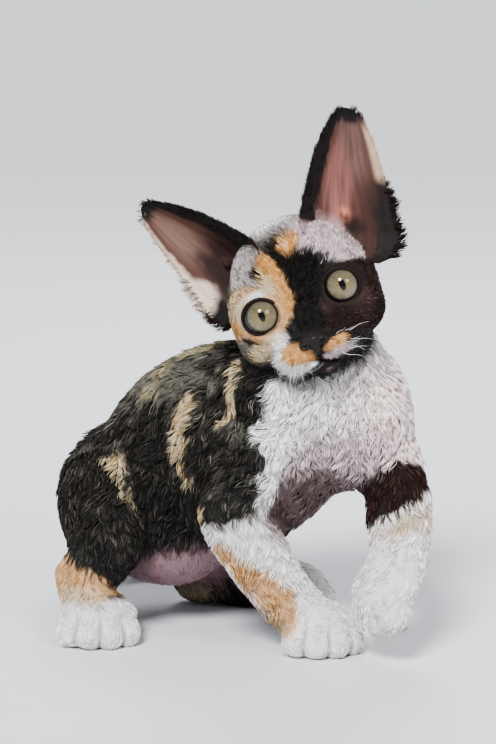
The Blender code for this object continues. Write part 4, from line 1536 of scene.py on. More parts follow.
@dataclass
class Tufts:
    """One coat of tufts: how long, wide, raised and wavy they are.

    Attributes:
        length: Length of a tuft.
        width: Width of a tuft at its root.
        rise: How high its tip stands off the skin.
        wave: How far it swings to each side.
        turns: How many waves it has along its length.
        stations: How many cross sections it has before its tip.
        gather: How strongly tufts close up into locks, 0 to 1.
        vary: How much their brightness varies.
        sink: How deep the root of a full-sized tuft lies in the skin.
        per_lock: How many tufts a lock has.
        speck: Half the width of a tuft on the flat layout.
        seed: The seed of its chance.
        name: The piece's name.
    """

    length: float = 7.0
    width: float = 0.55
    rise: float = 2.6
    wave: float = 0.8
    turns: float = 1.0
    stations: int = 4
    gather: float = 0.6
    vary: float = 0.14
    sink: float = 0.35
    per_lock: int = 12
    speck: float = 0.0015
    seed: int = 1
    name: str = "tufts"

    def locks(self, roots: Roots, rng: np.random.Generator) -> Rows:
        """The number of the tuft that each tuft gathers to.

        Args:
            roots: Where the tufts grow.
            rng: The seeded source of chance.

        Returns:
            A number for each tuft.
        """
        count = max(1, len(roots.points) // self.per_lock)
        picked = rng.choice(len(roots.points), size=count, replace=False)
        tree = KDTree(count)
        for i, p in enumerate(roots.points[picked].tolist()):
            tree.insert(p, i)
        tree.balance()
        return picked[[tree.find(p)[1] for p in roots.points.tolist()]]

    def paths(
        self, roots: Roots, surface: Surface | None, scale: Rows, rng: np.random.Generator
    ) -> Rows:
        """The middle line of each tuft.

        Args:
            roots: Where the tufts grow.
            surface: The piece they lie along, or none where they stand free of it.
            scale: Each tuft's size against the full one.
            rng: The seeded source of chance.

        Returns:
            For each tuft, its place at each station and at the tip.
        """
        points, normals, lies = roots.points, roots.normals, roots.lies
        side = np.cross(normals, lies)
        ripple = noise(points, 9.0, 3.0 + self.seed) * 0.9 + rng.normal(0, 0.16, len(points))
        way = unit(lies * np.cos(ripple)[:, None] + side * np.sin(ripple)[:, None])
        side = np.cross(normals, way)
        reach = self.length * scale * rng.uniform(0.8, 1.2, len(points))
        shares = np.linspace(0, 1, self.stations + 1)
        middle, end = (points + way * (reach * share)[:, None] for share in (0.5, 1.0))
        outward = normals
        if surface:
            middle, _ = surface.laid(middle)
            end, outward = surface.laid(end)
        phase = noise(points, 6.0, 8.0) * math.pi * 1.5
        swing = self.wave * scale
        rise = self.rise * scale * rng.uniform(0.75, 1.2, len(points))
        made = []
        for share in shares:
            low, half, high = (1 - share) * (1 - 2 * share), 4 * share * (1 - share), share * (2 * share - 1)
            line = points * low + middle * half + end * high
            up = unit(normals * (1 - share) + outward * share)
            turn = 2 * math.pi * self.turns * share + phase
            bob = swing * 0.5 * (np.sin(turn) - np.sin(phase)) * share
            lift = rise * share**0.7 - self.sink * np.minimum(scale, 1) + bob
            off = swing * (np.cos(turn) - np.cos(phase))
            made.append(line + up * lift[:, None] + side * off[:, None])
        made = np.array(made).transpose(1, 0, 2)
        pull = (self.gather * shares**1.3)[None, :, None]
        made = made + (made[self.locks(roots, rng)] - made) * pull
        made[..., 2] = np.maximum(made[..., 2], TUFT_FLOOR)
        return made

    def faces(self) -> Rows:
        """The triangles of one tuft: its root, its three sides from ring to ring, and its tip.

        Returns:
            Corner numbers, counted within the tuft.
        """
        last = (self.stations - 1) * 3
        made = [(0, 2, 1)]
        for start in range(0, last, 3):
            for k in range(3):
                a, b = start + k, start + (k + 1) % 3
                made += [(a, b, b + 3), (a, b + 3, a + 3)]
        made += [(last + k, last + (k + 1) % 3, last + 3) for k in range(3)]
        return np.array(made)

    def grown(
        self, roots: Roots, surface: Surface | None, paint: Rows, scale: Rows, flat: Rows
    ) -> bpy.types.Object:
        """Builds the coat.

        Args:
            roots: Where the tufts grow.
            surface: The piece they lie along, or none where they stand free of it.
            paint: Each tuft's colour.
            scale: Each tuft's size against the full one.
            flat: Each tuft's place on the layout.

        Returns:
            The piece.
        """
        rng = np.random.default_rng(self.seed)
        path = self.paths(roots, surface, scale, rng)
        count, rings = len(path), self.stations
        along = unit(np.gradient(path, axis=1))
        across = unit(np.cross(np.broadcast_to(roots.normals[:, None], along.shape), along))
        top = np.cross(along, across)
        shares = np.linspace(0, 1, rings + 1)[:-1]
        widths = self.width * scale[:, None] * (0.75 + 0.5 * shares - 0.95 * shares**2)[None, :]
        half = (widths / 2)[..., None]
        low, aside = path[:, :rings], across[:, :rings] * half
        ridge = low + top[:, :rings] * half * 1.1
        body = np.stack([low - aside, low + aside, ridge], axis=2).reshape(count, rings * 3, 3)
        points = np.concatenate([body, path[:, rings:]], axis=1)
        block, faces = rings * 3 + 1, self.faces()
        every = (np.arange(count) * block)[:, None, None] + faces[None]
        shade = 1 + self.vary * rng.normal(0, 1, count)
        # Painted shade and sheen: each tuft is darker at its root, in the coat's shade, and lighter towards
        # its tip as a painted sheen; pale tufts get less of it
        tips = np.append(np.repeat(np.linspace(0.8, 1.12, rings), 3), 1.18)
        fade = np.where(paint.mean(axis=1) > 0.4, 0.4, 1.0)[:, None]
        colour = paint[:, None] * shade[:, None, None] * (1 + fade * (tips - 1))[..., None]
        rows = (rows.reshape(-1, 3) for rows in (points, every, colour))
        made = mesh_piece(self.name, *rows, FUR)
        layout = made.data.uv_layers.new(name="OFBake")
        spread = np.zeros((block, 2))
        spread[:-1, 0] = np.tile((-self.speck, self.speck, 0.0), rings)
        spread[:-1, 1] = np.repeat(np.linspace(-self.speck, 0.001, rings), 3)
        spread[-1, 1] = self.speck
        spots = (flat[:, None, None, :] + spread[faces][None]).reshape(-1, 2)
        layout.data.foreach_set("uv", spots.astype(np.float32).ravel())
        return made


@dataclass
class Coat:
    """All the coats of the body and head, sown on the skin.

    Attributes:
        skin: The skin they grow on.
        mouth: The lines of the mouth, which they keep clear of.
        curled: How many tufts the curled coat has.
        short: How many the short coat has.
        face: How many the face's coat has.
        share: The share of them that is grown.
    """

    skin: bpy.types.Object
    mouth: list
    curled: int = 33500
    short: int = 24500
    face: int = 22000
    share: float = 1.0

    def parts(self, roots: Roots, many: int) -> list[Rows]:
        """Splits the roots into pieces of a size that can be kept."""
        order = np.argsort(roots.points[:, 0], kind="stable")
        return np.array_split(order, many)

    def flecked(self, points: Rows, rng: np.random.Generator) -> Rows:
        """The coat's colour with its ticking: pale hairs in the dark coat.

        Args:
            points: The roots of the tufts.
            rng: The seeded source of chance.

        Returns:
            A colour for each tuft.
        """
        made = MARKINGS.colours(points)
        dark = made.mean(axis=1) < 0.09
        pale = (rng.random(len(points)) < 0.16) & dark
        made[pale] = made[pale] * 2.2 + np.array((0.02, 0.018, 0.015))
        warm = (made[:, 0] > made[:, 2] * 1.5) & (made[:, 0] > 0.3)
        drawn = points[warm] * np.array((1.0, 1.0, 0.6))
        light = 0.55 * smooth_step(0.05, 0.6, noise(drawn, 1.5, 27.0))[:, None]
        made[warm] += (np.array(Tone.CREAM.value) * 1.1 - made[warm]) * light
        mottle = smooth_step(-0.15, 0.55, noise(drawn, 1.1, 21.0))[:, None]
        made[warm] *= 1 - np.array((0.24, 0.40, 0.58)) * mottle
        white = made.mean(axis=1) > 0.6
        made[white] *= rng.uniform(0.9, 1.08, (white.sum(), 1))
        return made

    def sown(
        self, surface: Surface, count: int, weight: Rows, seed: int
    ) -> tuple[Roots, np.random.Generator]:
        """Roots for one kind of coat.

        Args:
            surface: The piece they are on.
            count: How many there are at the full share.
            weight: How densely each triangle is sown.
            seed: The seed of their chance.

        Returns:
            The roots and the source of chance, for what follows.
        """
        rng = np.random.default_rng(seed)
        points, normals = surface.sown(int(count * self.share), weight, rng)
        return Roots(points, normals, PLAN.lie(points, normals)), rng

    def kinds(self, surface: Surface) -> list[tuple[Kind, int, Rows, int, Tufts]]:
        """The kinds of coat.

        Args:
            surface: The piece they grow on.

        Returns:
            For each kind, how many tufts it has, how densely each triangle is sown, how many
            pieces it makes and what its tufts are like.
        """
        middles = surface.middles
        head, bare = MARKINGS.on_head(middles), PLAN.bareness(middles)
        curl, under = PLAN.curliness(middles), smooth_step(1.2, 3.0, middles[:, 2])
        curled = curl * (1 - head) * (1 - bare)
        short = (1 - curl) * (1 - head) * (1 - 0.65 * bare) * under
        wide = 1.0 if self.share == 1 else 1.6
        locks = Tufts(7.0, 0.6 * wide, 2.6, 0.8)
        plain = Tufts(4.6, 0.5 * wide, 1.5, 0.4, 0.8, 3, 0.5)
        fine = Tufts(3.1, 0.34 * wide, 0.85, 0.2, 0.6, 2, 0.45, vary=0.2, sink=0.22)
        return [
            (Kind.CURLED, self.curled, curled, 5, locks),
            (Kind.SHORT, self.short, short, 3, plain),
            (Kind.FACE, self.face, head, 2, fine),
        ]

    def build(self) -> list[bpy.types.Object]:
        """Grows the curled coat, the short coat and the face's coat.

        Returns:
            The pieces.
        """
        surface, unwrap = Surface(self.skin), Unwrap(self.skin).build()
        made = []
        for seed, (kind, count, weight, many, tufts) in enumerate(self.kinds(surface), 11):
            roots, rng = self.sown(surface, count, weight, seed)
            scale = self.sizes(kind, roots.points)
            keep = scale > 0.05
            roots, scale = roots.picked(keep), scale[keep]
            paint, flat = self.flecked(roots.points, rng), unwrap.lookup(roots.points)
            for k, part in enumerate(self.parts(roots, many), 1):
                own = replace(tufts, seed=seed * 10 + k, name=f"{kind.value}_{k}")
                piece = own.grown(roots.picked(part), surface, paint[part], scale[part], flat[part])
                LOG.info("%s: %d tufts", piece.name, len(part))
                made.append(piece)
        return made

    def sizes(self, kind: Kind, points: Rows) -> Rows:
        """Each tuft's size against the full one, from its kind and its root.

        Args:
            kind: The kind of coat.
            points: The roots of its tufts.

        Returns:
            A size for each tuft.
        """
        if kind is Kind.FACE:
            return self.face_sizes(PLACE.inward(points))
        size = (1 - 0.3 * PLAN.paw_share(points)) * (1 - 0.65 * BODY.creases(points))
        if kind is Kind.CURLED:
            return size * 0.95
        feather = 1 - smooth_step(6, 15, to_line(points - BODY_SHIFT, (8, -34, 48), (22, -20, 20)))
        return size * (1 - 0.35 * PLAN.bareness(points)) * (1 + 0.45 * feather)

    def face_sizes(self, inside: Rows) -> Rows:
        """Sizes on the face: less by the eyes and lips, none on the lids, the lips and the nose.

        Args:
            inside: The roots, in the head's frame.

        Returns:
            Each tuft's size against the full one.
        """
        muzzle = np.linalg.norm(inside - np.array((20, 0, -17)), axis=1)
        size = 0.72 + 0.48 * smooth_step(6, 42, muzzle)
        for side in (1, -1):
            apart, edge = FORM.round_eye(inside, side)
            for reach, share in ((1.1, 0.0), (1.7, 0.6), (1.32, 0.6)):
                size = np.where((apart[:, 0] > 0) & (edge < reach), size * share, size)
        leather = np.linalg.norm((inside - np.array(FORM.nose[0])) / np.array((6, 6.4, 4.2)), axis=1)
        close = lip_distance(inside, self.mouth)
        size = size * (0.3 + 0.7 * smooth_step(0.6, 2.5, close))
        return np.where((leather < 1) | (close < 0.55), 0.0, size)


@dataclass
class Eye:
    """One wet eye: a ball with a raised window over a painted iris and an upright pupil.

    Attributes:
        name: The solid that it takes the place of.
        side: 1 for the left eye, -1 for the right one.
        iris: Radius of the iris.
        pupil: Half width and half height of the pupil.
        bulge: How far the window stands off the ball.
        rings: How many rings it has from front to back.
        sides: How many sides each ring has.
        gaze: The way it looks, in the kitten's frame.
    """

    name: str
    side: int
    iris: float = 6.2
    pupil: tuple[float, float] = (1.3, 2.6)
    bulge: float = 0.35
    rings: int = 96
    sides: int = 128
    gaze: Spot = (0.606, -0.776, 0.17)

    def paint(self, local: Rows) -> Rows:
        """Colours of white, iris, rim and pupil, with painted lid shadow over the top of the iris and
        painted light in its lower part.

        Args:
            local: Places on the eye, with x along the gaze and z up.

        Returns:
            A colour for each place.
        """
        across = np.hypot(local[:, 1], local[:, 2])
        angle = np.arctan2(local[:, 2], local[:, 1])
        turn = np.stack([np.cos(angle), np.sin(angle), across * 0.05], axis=1)
        streak = noise(turn, 0.09, 2.0) * 0.6 + noise(turn, 0.035, 5.0) * 0.4
        t = across / self.iris
        made = blended(np.array((0.165, 0.125, 0.06)), (0.145, 0.13, 0.083), smooth_step(0.3, 0.8, t))
        # The iris's streaks, with painted shade and light: darker towards the top as the lids' shadow,
        # lighter towards the bottom as light gathered through the cornea
        light = 1.0 + 0.42 * streak - 0.45 * np.clip(local[:, 2] / self.iris, -0.8, 1)
        made = made * light[:, None]
        made = blended(made, (0.012, 0.009, 0.008), smooth_step(0.86, 1.02, t))
        made = blended(made, (0.22, 0.17, 0.15), smooth_step(1.16, 1.3, t))
        hole = np.hypot(local[:, 1] / self.pupil[0], local[:, 2] / self.pupil[1])
        dark = 1 - smooth_step(0.85, 1.12, hole)[:, None]
        return made * (1 - dark) + 0.002 * dark

    def build(self) -> bpy.types.Object:
        """Builds the eye.

        Returns:
            The eye.
        """
        theta = np.linspace(0, math.pi, self.rings + 1) ** 1.25 / math.pi**0.25
        phi = np.arange(self.sides) * 2 * math.pi / self.sides
        t, p = np.meshgrid(theta[1:-1], phi, indexing="ij")
        ring = np.stack([np.cos(t), np.sin(t) * np.cos(p), np.sin(t) * np.sin(p)], axis=-1).reshape(-1, 3)
        ways = np.concatenate([[(1, 0, 0)], ring, [(-1, 0, 0)]])
        lift = self.bulge * np.exp(-((np.arccos(np.clip(ways[:, 0], -1, 1)) / 0.55) ** 2))
        local = ways * (FORM.eye_radius + lift)[:, None]
        forward = unit(np.array(self.gaze))
        left = unit(np.cross(PLACE.spin()[:, 2], forward))
        turn = np.stack([forward, left, np.cross(forward, left)], axis=1)
        centre = PLACE.outward(np.array([(0, FORM.eye_spacing * self.side, 0)], float))[0]
        points = local @ turn.T + centre
        made = mesh_piece(self.name + "_wet", points, self.faces(), self.paint(local), WET_EYE)
        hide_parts(self.name)
        return made

    def faces(self) -> Rows:
        """The triangles between the rings and at both ends.

        Returns:
            Corner numbers, the front end first.
        """
        rows, n = self.rings - 1, self.sides
        k = np.arange(n)
        after, end = (k + 1) % n, 1 + (rows - 1) * n
        front = np.stack([np.zeros(n, int), 1 + k, 1 + after], axis=1)
        back = np.stack([end + k, np.full(n, 1 + rows * n), end + after], axis=1)
        between = 1 + grid_faces(rows, n, ring=True)[:, [0, 3, 2, 1]]
        return np.concatenate([front, halved(between), back])


@dataclass
class Lids:
    """The rims of both lids around one eye.

    Attributes:
        name: The piece's name.
        side: 1 for the left eye, -1 for the right one.
        thickness: Half the thickness of the rim.
        steps: How many sections it has round the eye.
        sides: How many sides each section has.
    """

    name: str
    side: int
    thickness: float = 0.62
    steps: int = 96
    sides: int = 14

    def build(self) -> bpy.types.Object:
        """Builds the rim.

        Returns:
            The rim.
        """
        wide, high = FORM.lid_opening
        a = np.arange(self.steps) * 2 * math.pi / self.steps
        corner = 1 + 0.15 * np.maximum(0, -self.side * np.cos(a)) ** 6
        flat = np.stack([np.zeros_like(a), wide * corner * np.cos(a), high * np.sin(a)], axis=1)
        reach = FORM.eye_radius + 0.3
        on_ball = flat.copy()
        on_ball[:, 0] = np.sqrt(np.maximum(1.0, reach**2 - (flat**2).sum(1)))
        out = unit(on_ball)
        away = unit(flat - out * (out * flat).sum(1)[:, None])
        s = np.arange(self.sides) * 2 * math.pi / self.sides
        thick = self.thickness * (1 + 0.18 * np.maximum(0, np.sin(a)))
        ring = (
            on_ball[:, None]
            + away[:, None] * (thick[:, None, None] * np.cos(s)[None, :, None] + 0.5)
            + out[:, None] * (thick[:, None, None] * np.sin(s)[None, :, None])
        )
        points = ring.reshape(-1, 3) + np.array((0, FORM.eye_spacing * self.side, 0))
        faces = grid_faces(self.steps, self.sides, ring=True, closed=True)[:, [0, 3, 2, 1]]
        inner = np.repeat(np.maximum(0, -self.side * np.cos(a)) ** 8, self.sides)
        paint = blended(np.array((0.016, 0.010, 0.009)), (0.16, 0.07, 0.06), inner * 0.5)
        made = mesh_piece(self.name, PLACE.outward(points), faces, paint, LID_RIM)
        return made


@dataclass
class NoseLeather:
    """The bare leather of the nose with both nostrils, in the head's frame.

    Attributes:
        centre: Middle of the leather.
        radii: Its reach.
        wing: Middle and radii of the left wing.
        stem: Middle and radii of the strip to the lip.
        nostril: Middle and radii of the left nostril.
        voxel: How finely it is fused.
    """

    centre: tuple = (18.2, 0, -15.4)
    radii: tuple = (4.2, 5.4, 3.4)
    wing: tuple = ((18.4, 3.8, -16.2), (3.9, 2.7, 2.3))
    stem: tuple = ((20.4, 0, -18.6), (2.2, 1.5, 3.2))
    nostril: tuple = ((22.2, 3.6, -16.6), (2.6, 1.7, 0.8))
    voxel: float = 0.3

    def build(self) -> bpy.types.Object:
        """Builds the leather.

        Returns:
            The leather.
        """
        masses = Clay.pairs([(self.centre, self.radii), self.stem, self.wing])
        pad = Clay.fused(masses, self.voxel, 8)
        points, outward = corners(pad.data), normals_of(pad.data)
        for side, (centre, radii) in zip((1, -1), both_sides([self.nostril])):
            apart = points - np.array(centre)
            apart[:, 2] += apart[:, 1] * side * -0.25
            reach = np.linalg.norm(apart / np.array(radii), axis=1)
            points -= outward * (1.3 * (1 - smooth_step(0.4, 1.2, reach)))[:, None]
        crease = np.exp(-((points[:, 1] / 0.35) ** 2)) * (points[:, 2] < -15.0) * (points[:, 0] > 18)
        points -= outward * (0.45 * crease)[:, None]
        set_corners(pad.data, points)
        paint = np.tile(np.array((0.013, 0.008, 0.008)), (len(points), 1))
        paint *= (1 + 0.3 * noise(points, 1.5, 3.0))[:, None]
        pad.name = "nose_leather"
        painted(pad.data, paint)
        pad.data.transform(Matrix.Scale(MM, 4) @ PLACE.matrix())
        pad.data.shade_smooth()
        pad.data.materials.append(NOSE_LEATHER.material())
        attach(pad, "root")
        return pad


@dataclass
class Ear:
    """The cup of one ear: a thin curved wall, haired outside and bare inside.

    Attributes:
        name: The solid that it takes the place of.
        side: 1 for the left ear, -1 for the right one.
        inner: The root of its inner edge, in the head's frame with y outward.
        outer: The root of its outer edge.
        tip: Its tip.
        flare: How soon its inner and outer edges draw in: less is later.
        cup: How deep the cup is at its root.
        wall: How thick the wall is.
        rows: How many faces it has from root to tip.
        columns: How many it has from edge to edge.
    """

    name: str
    side: int
    inner: Spot
    outer: Spot
    tip: Spot
    flare: tuple[float, float]
    cup: float = 14.0
    wall: float = 1.7
    rows: int = 84
    columns: int = 60

    def spots(self, u: Rows, v: Rows, depth: Rows) -> Rows:
        """Places on the wall.

        Args:
            u: From 0 at the root to 1 at the tip.
            v: From -1 at the inner edge to 1 at the outer edge.
            depth: How far into the wall.

        Returns:
            The places, in the head's frame.
        """
        inner, outer, tip = (np.array(p, float) for p in (self.inner, self.outer, self.tip))
        root = (inner + outer) / 2
        half = np.linalg.norm(outer - inner) / 2
        across = unit(outer - inner)
        axis = tip - root
        back = unit(np.cross(across, axis))
        back *= -np.sign(back[0])
        rise = np.maximum(u, 0.0)
        narrow = half * np.sqrt(np.maximum(0, 1 - (np.minimum(u, 0.0) / 0.3) ** 2))
        deep = self.cup * (1 - rise) ** 0.85 + 1.2
        shape = np.cos(math.pi / 2 * v)
        thick = depth * (0.55 + 0.45 * shape)
        wide = narrow * (1 - rise) ** np.where(v > 0, self.flare[1], self.flare[0])
        lean = deep * shape - thick + 3.0 * np.sin(math.pi * rise) + 14 * np.minimum(u, 0.0)
        made = root + axis * u[:, None] + across * (wide * v)[:, None] + back * lean[:, None]
        made[:, 1] *= self.side
        return made

    def ridges(self, u: Rows, v: Rows) -> Rows:
        """The height of the folds that run up inside the cup, and of the knob at its root.

        Args:
            u: From 0 at the root to 1 at the tip.
            v: From -1 at the inner edge to 1 at the outer edge.

        Returns:
            A height for each place.
        """
        made = np.zeros(len(u))
        folds = ((-0.42, 0.25, 0.8), (-0.08, 0.1, 0.7), (0.3, 0.05, 0.7), (0.55, -0.3, 1.1))
        for at, lean, high in folds:
            off = (v - at - lean * np.maximum(u, 0)) / 0.08
            made += high * np.exp(-(off**2)) * smooth_step(0.75, 0.1, u) * smooth_step(-0.2, 0.05, u)
        knob = ((u - 0.13) / 0.035) ** 2 + ((v - 0.06) / 0.085) ** 2
        return made + 5.5 * np.exp(-(knob**2))

    def paint(self, u: Rows, v: Rows, inside: Rows) -> Rows:
        """Colours of the wall.

        Args:
            u: From 0 at the root to 1 at the tip.
            v: From -1 at the inner edge to 1 at the outer edge.
            inside: 1 on the lining, 0 on the back.

        Returns:
            A colour for each place.
        """
        black, brown = np.array((0.008, 0.006, 0.006)), np.array((0.085, 0.038, 0.030))
        pink, cream = np.array((0.27, 0.118, 0.10)), np.array((0.66, 0.48, 0.34))
        spots = np.stack([u * 20, v * 14, inside * 9.0 + self.side], axis=1)
        blotch = noise(spots, 4.0, self.side + 3.0) * 0.6 + noise(spots, 1.3, 7.0) * 0.4
        veins = noise(spots * np.array((0.3, 1.9, 1.0)), 1.5, 11.0)
        veins += 0.6 * noise(spots * np.array((0.5, 3.4, 1.0)), 1.2, 17.0)
        left = self.side > 0

        def spread(colour: Rows | Spot, share: Rows) -> None:
            """Lays a colour over what is painted so far."""
            nonlocal made
            made = blended(made, colour, np.clip(share, 0, 1))

        def oval(at: tuple[float, float], reach: tuple[float, float]) -> Rows:
            """1 inside an uneven oval of u and v, 0 outside it."""
            off = np.hypot((u - at[0]) / reach[0], (v - at[1]) / reach[1])
            return 1 - smooth_step(0.45, 1.25, off + 0.25 * blotch)

        made = np.tile(brown * 1.25, (len(u), 1))
        if left:
            spread((0.17, 0.095, 0.08), oval((0.72, 0.3), (0.34, 0.6)))
            spread(pink, oval((0.36, -0.12), (0.42, 0.40)))
            low = smooth_step(0.55, 0.2, u + 0.1 * blotch)
            spread(brown * 0.7, smooth_step(0.1, 0.5, v + 0.3 * blotch) * low)
            low = smooth_step(0.46, 0.36, u + 0.06 * blotch)
            spread(black * 2, smooth_step(0.55, 0.85, v + 0.25 * blotch) * low)
            spread((0.52, 0.36, 0.36), smooth_step(0.14, -0.02, u) * smooth_step(0.25, -0.1, v))
            knob = ((u - 0.13) / 0.05) ** 2 + ((v - 0.06) / 0.11) ** 2
            spread(brown * 0.3, oval((0.03, 0.24), (0.09, 0.22)))
            spread((0.62, 0.25, 0.17), np.exp(-knob))
        else:
            spread((0.20, 0.12, 0.092), oval((0.62, 0.3), (0.36, 0.5)))
            spread(brown * 0.4, smooth_step(0.55, 0.2, u + 0.2 * blotch) * smooth_step(0.75, 0.4, v))
            wide = 0.97 - 0.33 * smooth_step(0.42, 0.15, u)
            spread((0.66, 0.55, 0.46), smooth_step(wide - 0.14, wide + 0.06, v + 0.22 * blotch))
            spread(black, smooth_step(0.07, 0.0, u + 0.04 * blotch) * smooth_step(0.45, 0.7, v))
        made = made * (1 + 0.24 * veins + 0.2 * blotch)[:, None]
        band = 0.50 if left else 0.44
        above = smooth_step(-0.05, 0.02, u)
        spread(black, smooth_step(band, band + 0.14, -v + 0.16 * blotch + 0.1 * u) * above)
        start = 0.74 if left else 0.84
        rim = smooth_step(start, start + 0.14, v) * smooth_step(0.40, 0.5, u) * smooth_step(0.93, 0.8, u)
        cream = cream if left else cream * 0.7
        spread(cream, rim * 0.9)
        spread(black, smooth_step(0.84, 0.92, u + 0.05 * blotch - 0.05 * np.maximum(v, 0)))
        lining = made
        made = np.tile(black * 1.3, (len(u), 1))
        spread(brown * 0.5, 0.5 + 0.5 * blotch)
        spread(cream, rim * 0.6)
        if not left:
            spread((0.40, 0.30, 0.24), smooth_step(0.75, 0.95, v) * smooth_step(0.03, 0.12, u) * 0.7)
        return np.where(inside[:, None] > 0.5, lining, made)

    def build(self) -> bpy.types.Object:
        """Builds the ear.

        Returns:
            The cup.
        """
        rise = -0.26 + 1.258 * np.sin(np.linspace(0, math.pi / 2, self.rows + 1)) ** 0.8
        u, v = np.meshgrid(rise, np.linspace(-1, 1, self.columns + 1), indexing="ij")
        u, v = u.ravel(), v.ravel()
        size = len(u)
        outside = self.spots(u, v, np.zeros(size))
        lined = self.spots(u, v, self.wall + self.ridges(u, v) * 0.5)
        points = PLACE.outward(np.concatenate([outside, lined]))
        paint = np.concatenate([self.paint(u, v, np.zeros(size)), self.paint(u, v, np.ones(size))])
        made = mesh_piece(self.name + "_cup", points, self.faces(), paint, EAR_SKIN)
        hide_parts(self.name)
        return made

    def faces(self) -> Rows:
        """The four-sided faces of both walls and of the rim between them.

        Returns:
            The corner numbers of each face.
        """
        wide = self.columns + 1
        size = (self.rows + 1) * wide
        quads = grid_faces(self.rows + 1, wide)
        made = [quads, quads[:, ::-1] + size]
        for row in (0, self.rows):
            k = row * wide + np.arange(self.columns)
            made.append(np.stack([k, k + 1, k + 1 + size, k + size], axis=1))
        for column in (0, self.columns):
            k = np.arange(self.rows) * wide + column
            made.append(np.stack([k, k + wide, k + wide + size, k + size], axis=1))
        faces = np.concatenate(made)
        return faces if self.side > 0 else faces[:, ::-1]


@dataclass
class EarCoat:
    """The coat of one ear: short on its back, fuzzy inside its edges, with a fringe past them.

    Attributes:
        ear: The ear it grows on.
        share: The share of its hairs that is grown.
    """

    ear: Ear
    share: float = 1.0

    def bed(self, u: Rows, v: Rows, inside: Rows) -> tuple[Rows, Rows, Rows, Rows]:
        """Where hairs of the wall stand.

        Args:
            u: From root to tip, for each hair.
            v: From inner to outer edge.
            inside: 1 on the lining.

        Returns:
            Their places, and the directions outward, to the tip and to the outer edge.
        """
        deep = np.where(inside > 0.5, self.ear.wall, 0.0)
        step = 0.01

        def at(du: float, dv: float, depth: Rows) -> Rows:
            """Places a little further along the wall."""
            along, across = np.clip(u + du, -0.26, 0.995), np.clip(v + dv, -1, 1)
            return PLACE.outward(self.ear.spots(along, across, depth))

        here = at(0, 0, deep)
        tip = unit(at(step, 0, deep) - at(-step, 0, deep))
        outer = unit(at(0, step, deep) - at(0, -step, deep))
        wall = unit(at(0, 0, np.zeros(len(u))) - at(0, 0, np.full(len(u), self.ear.wall)))
        normal = unit(np.cross(tip, outer))
        facing = np.sign((normal * wall).sum(1))
        normal = normal * (facing * np.where(inside > 0.5, -1, 1))[:, None]
        return here, normal, tip, outer

    def grow(self, u: Rows, v: Rows, inside: Rows, ways: Rows, scale: Rows, tufts: Tufts) -> None:
        """Grows one kind of hair.

        Args:
            u: From root to tip, for each hair.
            v: From inner to outer edge.
            inside: 1 on the lining.
            ways: How far each hair leans outward, to the tip and to the outer edge.
            scale: Each hair's size.
            tufts: Its name and measures.
        """
        here, normal, tip, outer = self.bed(u, v, inside)
        way = unit(normal * ways[:, :1] + tip * ways[:, 1:2] + outer * ways[:, 2:])
        side = unit(np.cross(way, normal))
        roots = Roots(here, unit(np.cross(side, way)), way)
        flat = np.stack([(v + 1) / 4.2 + 0.01 + 0.5 * (inside > 0.5), (u + 0.28) / 1.35], axis=1)
        tufts.grown(roots, None, self.ear.paint(u, v, inside) * 1.05, scale, flat)

    def build(self) -> None:
        """Builds the coat."""
        rng = np.random.default_rng(31 + self.ear.side)
        wide = 1.0 if self.share == 1 else 1.5
        many = int(4600 * self.share)
        u, v = 1.2 * rng.beta(0.9, 1.3, many) - 0.22, rng.uniform(-1, 1, many)
        inside = (rng.random(many) < 0.35).astype(float)
        edge = smooth_step(0.35, 0.75, -v) + smooth_step(0.7, 0.95, v) + smooth_step(0.2, 0.0, u)
        keep = (inside < 0.5) | (rng.random(many) < 0.15 + edge)
        u, v, inside = u[keep], v[keep], inside[keep]
        ways = np.stack([np.full(len(u), 0.18), np.full(len(u), 1.0), 0.25 * v], axis=1)
        size = 1.0 - 0.3 * smooth_step(0.4, 1.0, u)
        name = self.ear.name
        short = Tufts(2.6, 0.34 * wide, 0.25, 0.12, 0.6, 2, 0.3, 0.2, seed=41, name=f"{name}_coat")
        self.grow(u, v, inside, ways, size, short)
        many = int(1500 * self.share)
        u, out = rng.uniform(-0.2, 0.99, many), rng.random(many) < 0.5
        v = np.where(out, rng.uniform(0.9, 1.0, many), rng.uniform(-1.0, -0.9, many))
        tuft = smooth_step(0.46, 0.3, u) * (v > 0)
        size = 0.55 + 0.3 * rng.random(many) + 0.75 * tuft + 0.3 * smooth_step(0.85, 1.0, u)
        past_edge = np.sign(v) * (0.55 + 0.3 * tuft)
        ways = np.stack([rng.normal(0, 0.25, many), 0.9 - 0.3 * tuft, past_edge], axis=1)
        inside = (rng.random(many) < 0.5).astype(float)
        fringe = Tufts(3.4, 0.32 * wide, 0.1, 0.22, 0.7, 3, 0.45, 0.2, seed=43, name=f"{name}_fringe")
        self.grow(u, v, inside, ways, size, fringe)


def rod(rings: Rows) -> tuple[Rows, Rows]:
    """A closed rod from rings of corners: its corners and its triangles.

    Args:
        rings: For each ring, its corners.

    Returns:
        The corners and the triangles.
    """
    rows, sides = rings.shape[:2]
    body = halved(grid_faces(rows, sides, ring=True))
    fan = np.stack([np.zeros(sides - 2, int), np.arange(2, sides), np.arange(1, sides - 1)], axis=1)
    return rings.reshape(-1, 3), np.concatenate([body, fan, fan[:, ::-1] + (rows - 1) * sides])


def gathered(rods: list[tuple[Rows, Rows]]) -> tuple[Rows, Rows]:
    """Many rods as one list of corners and one of triangles."""
    starts = np.cumsum([0, *(len(p) for p, _ in rods)])[:-1]
    return np.concatenate([p for p, _ in rods]), np.concatenate([f + s for (_, f), s in zip(rods, starts)])


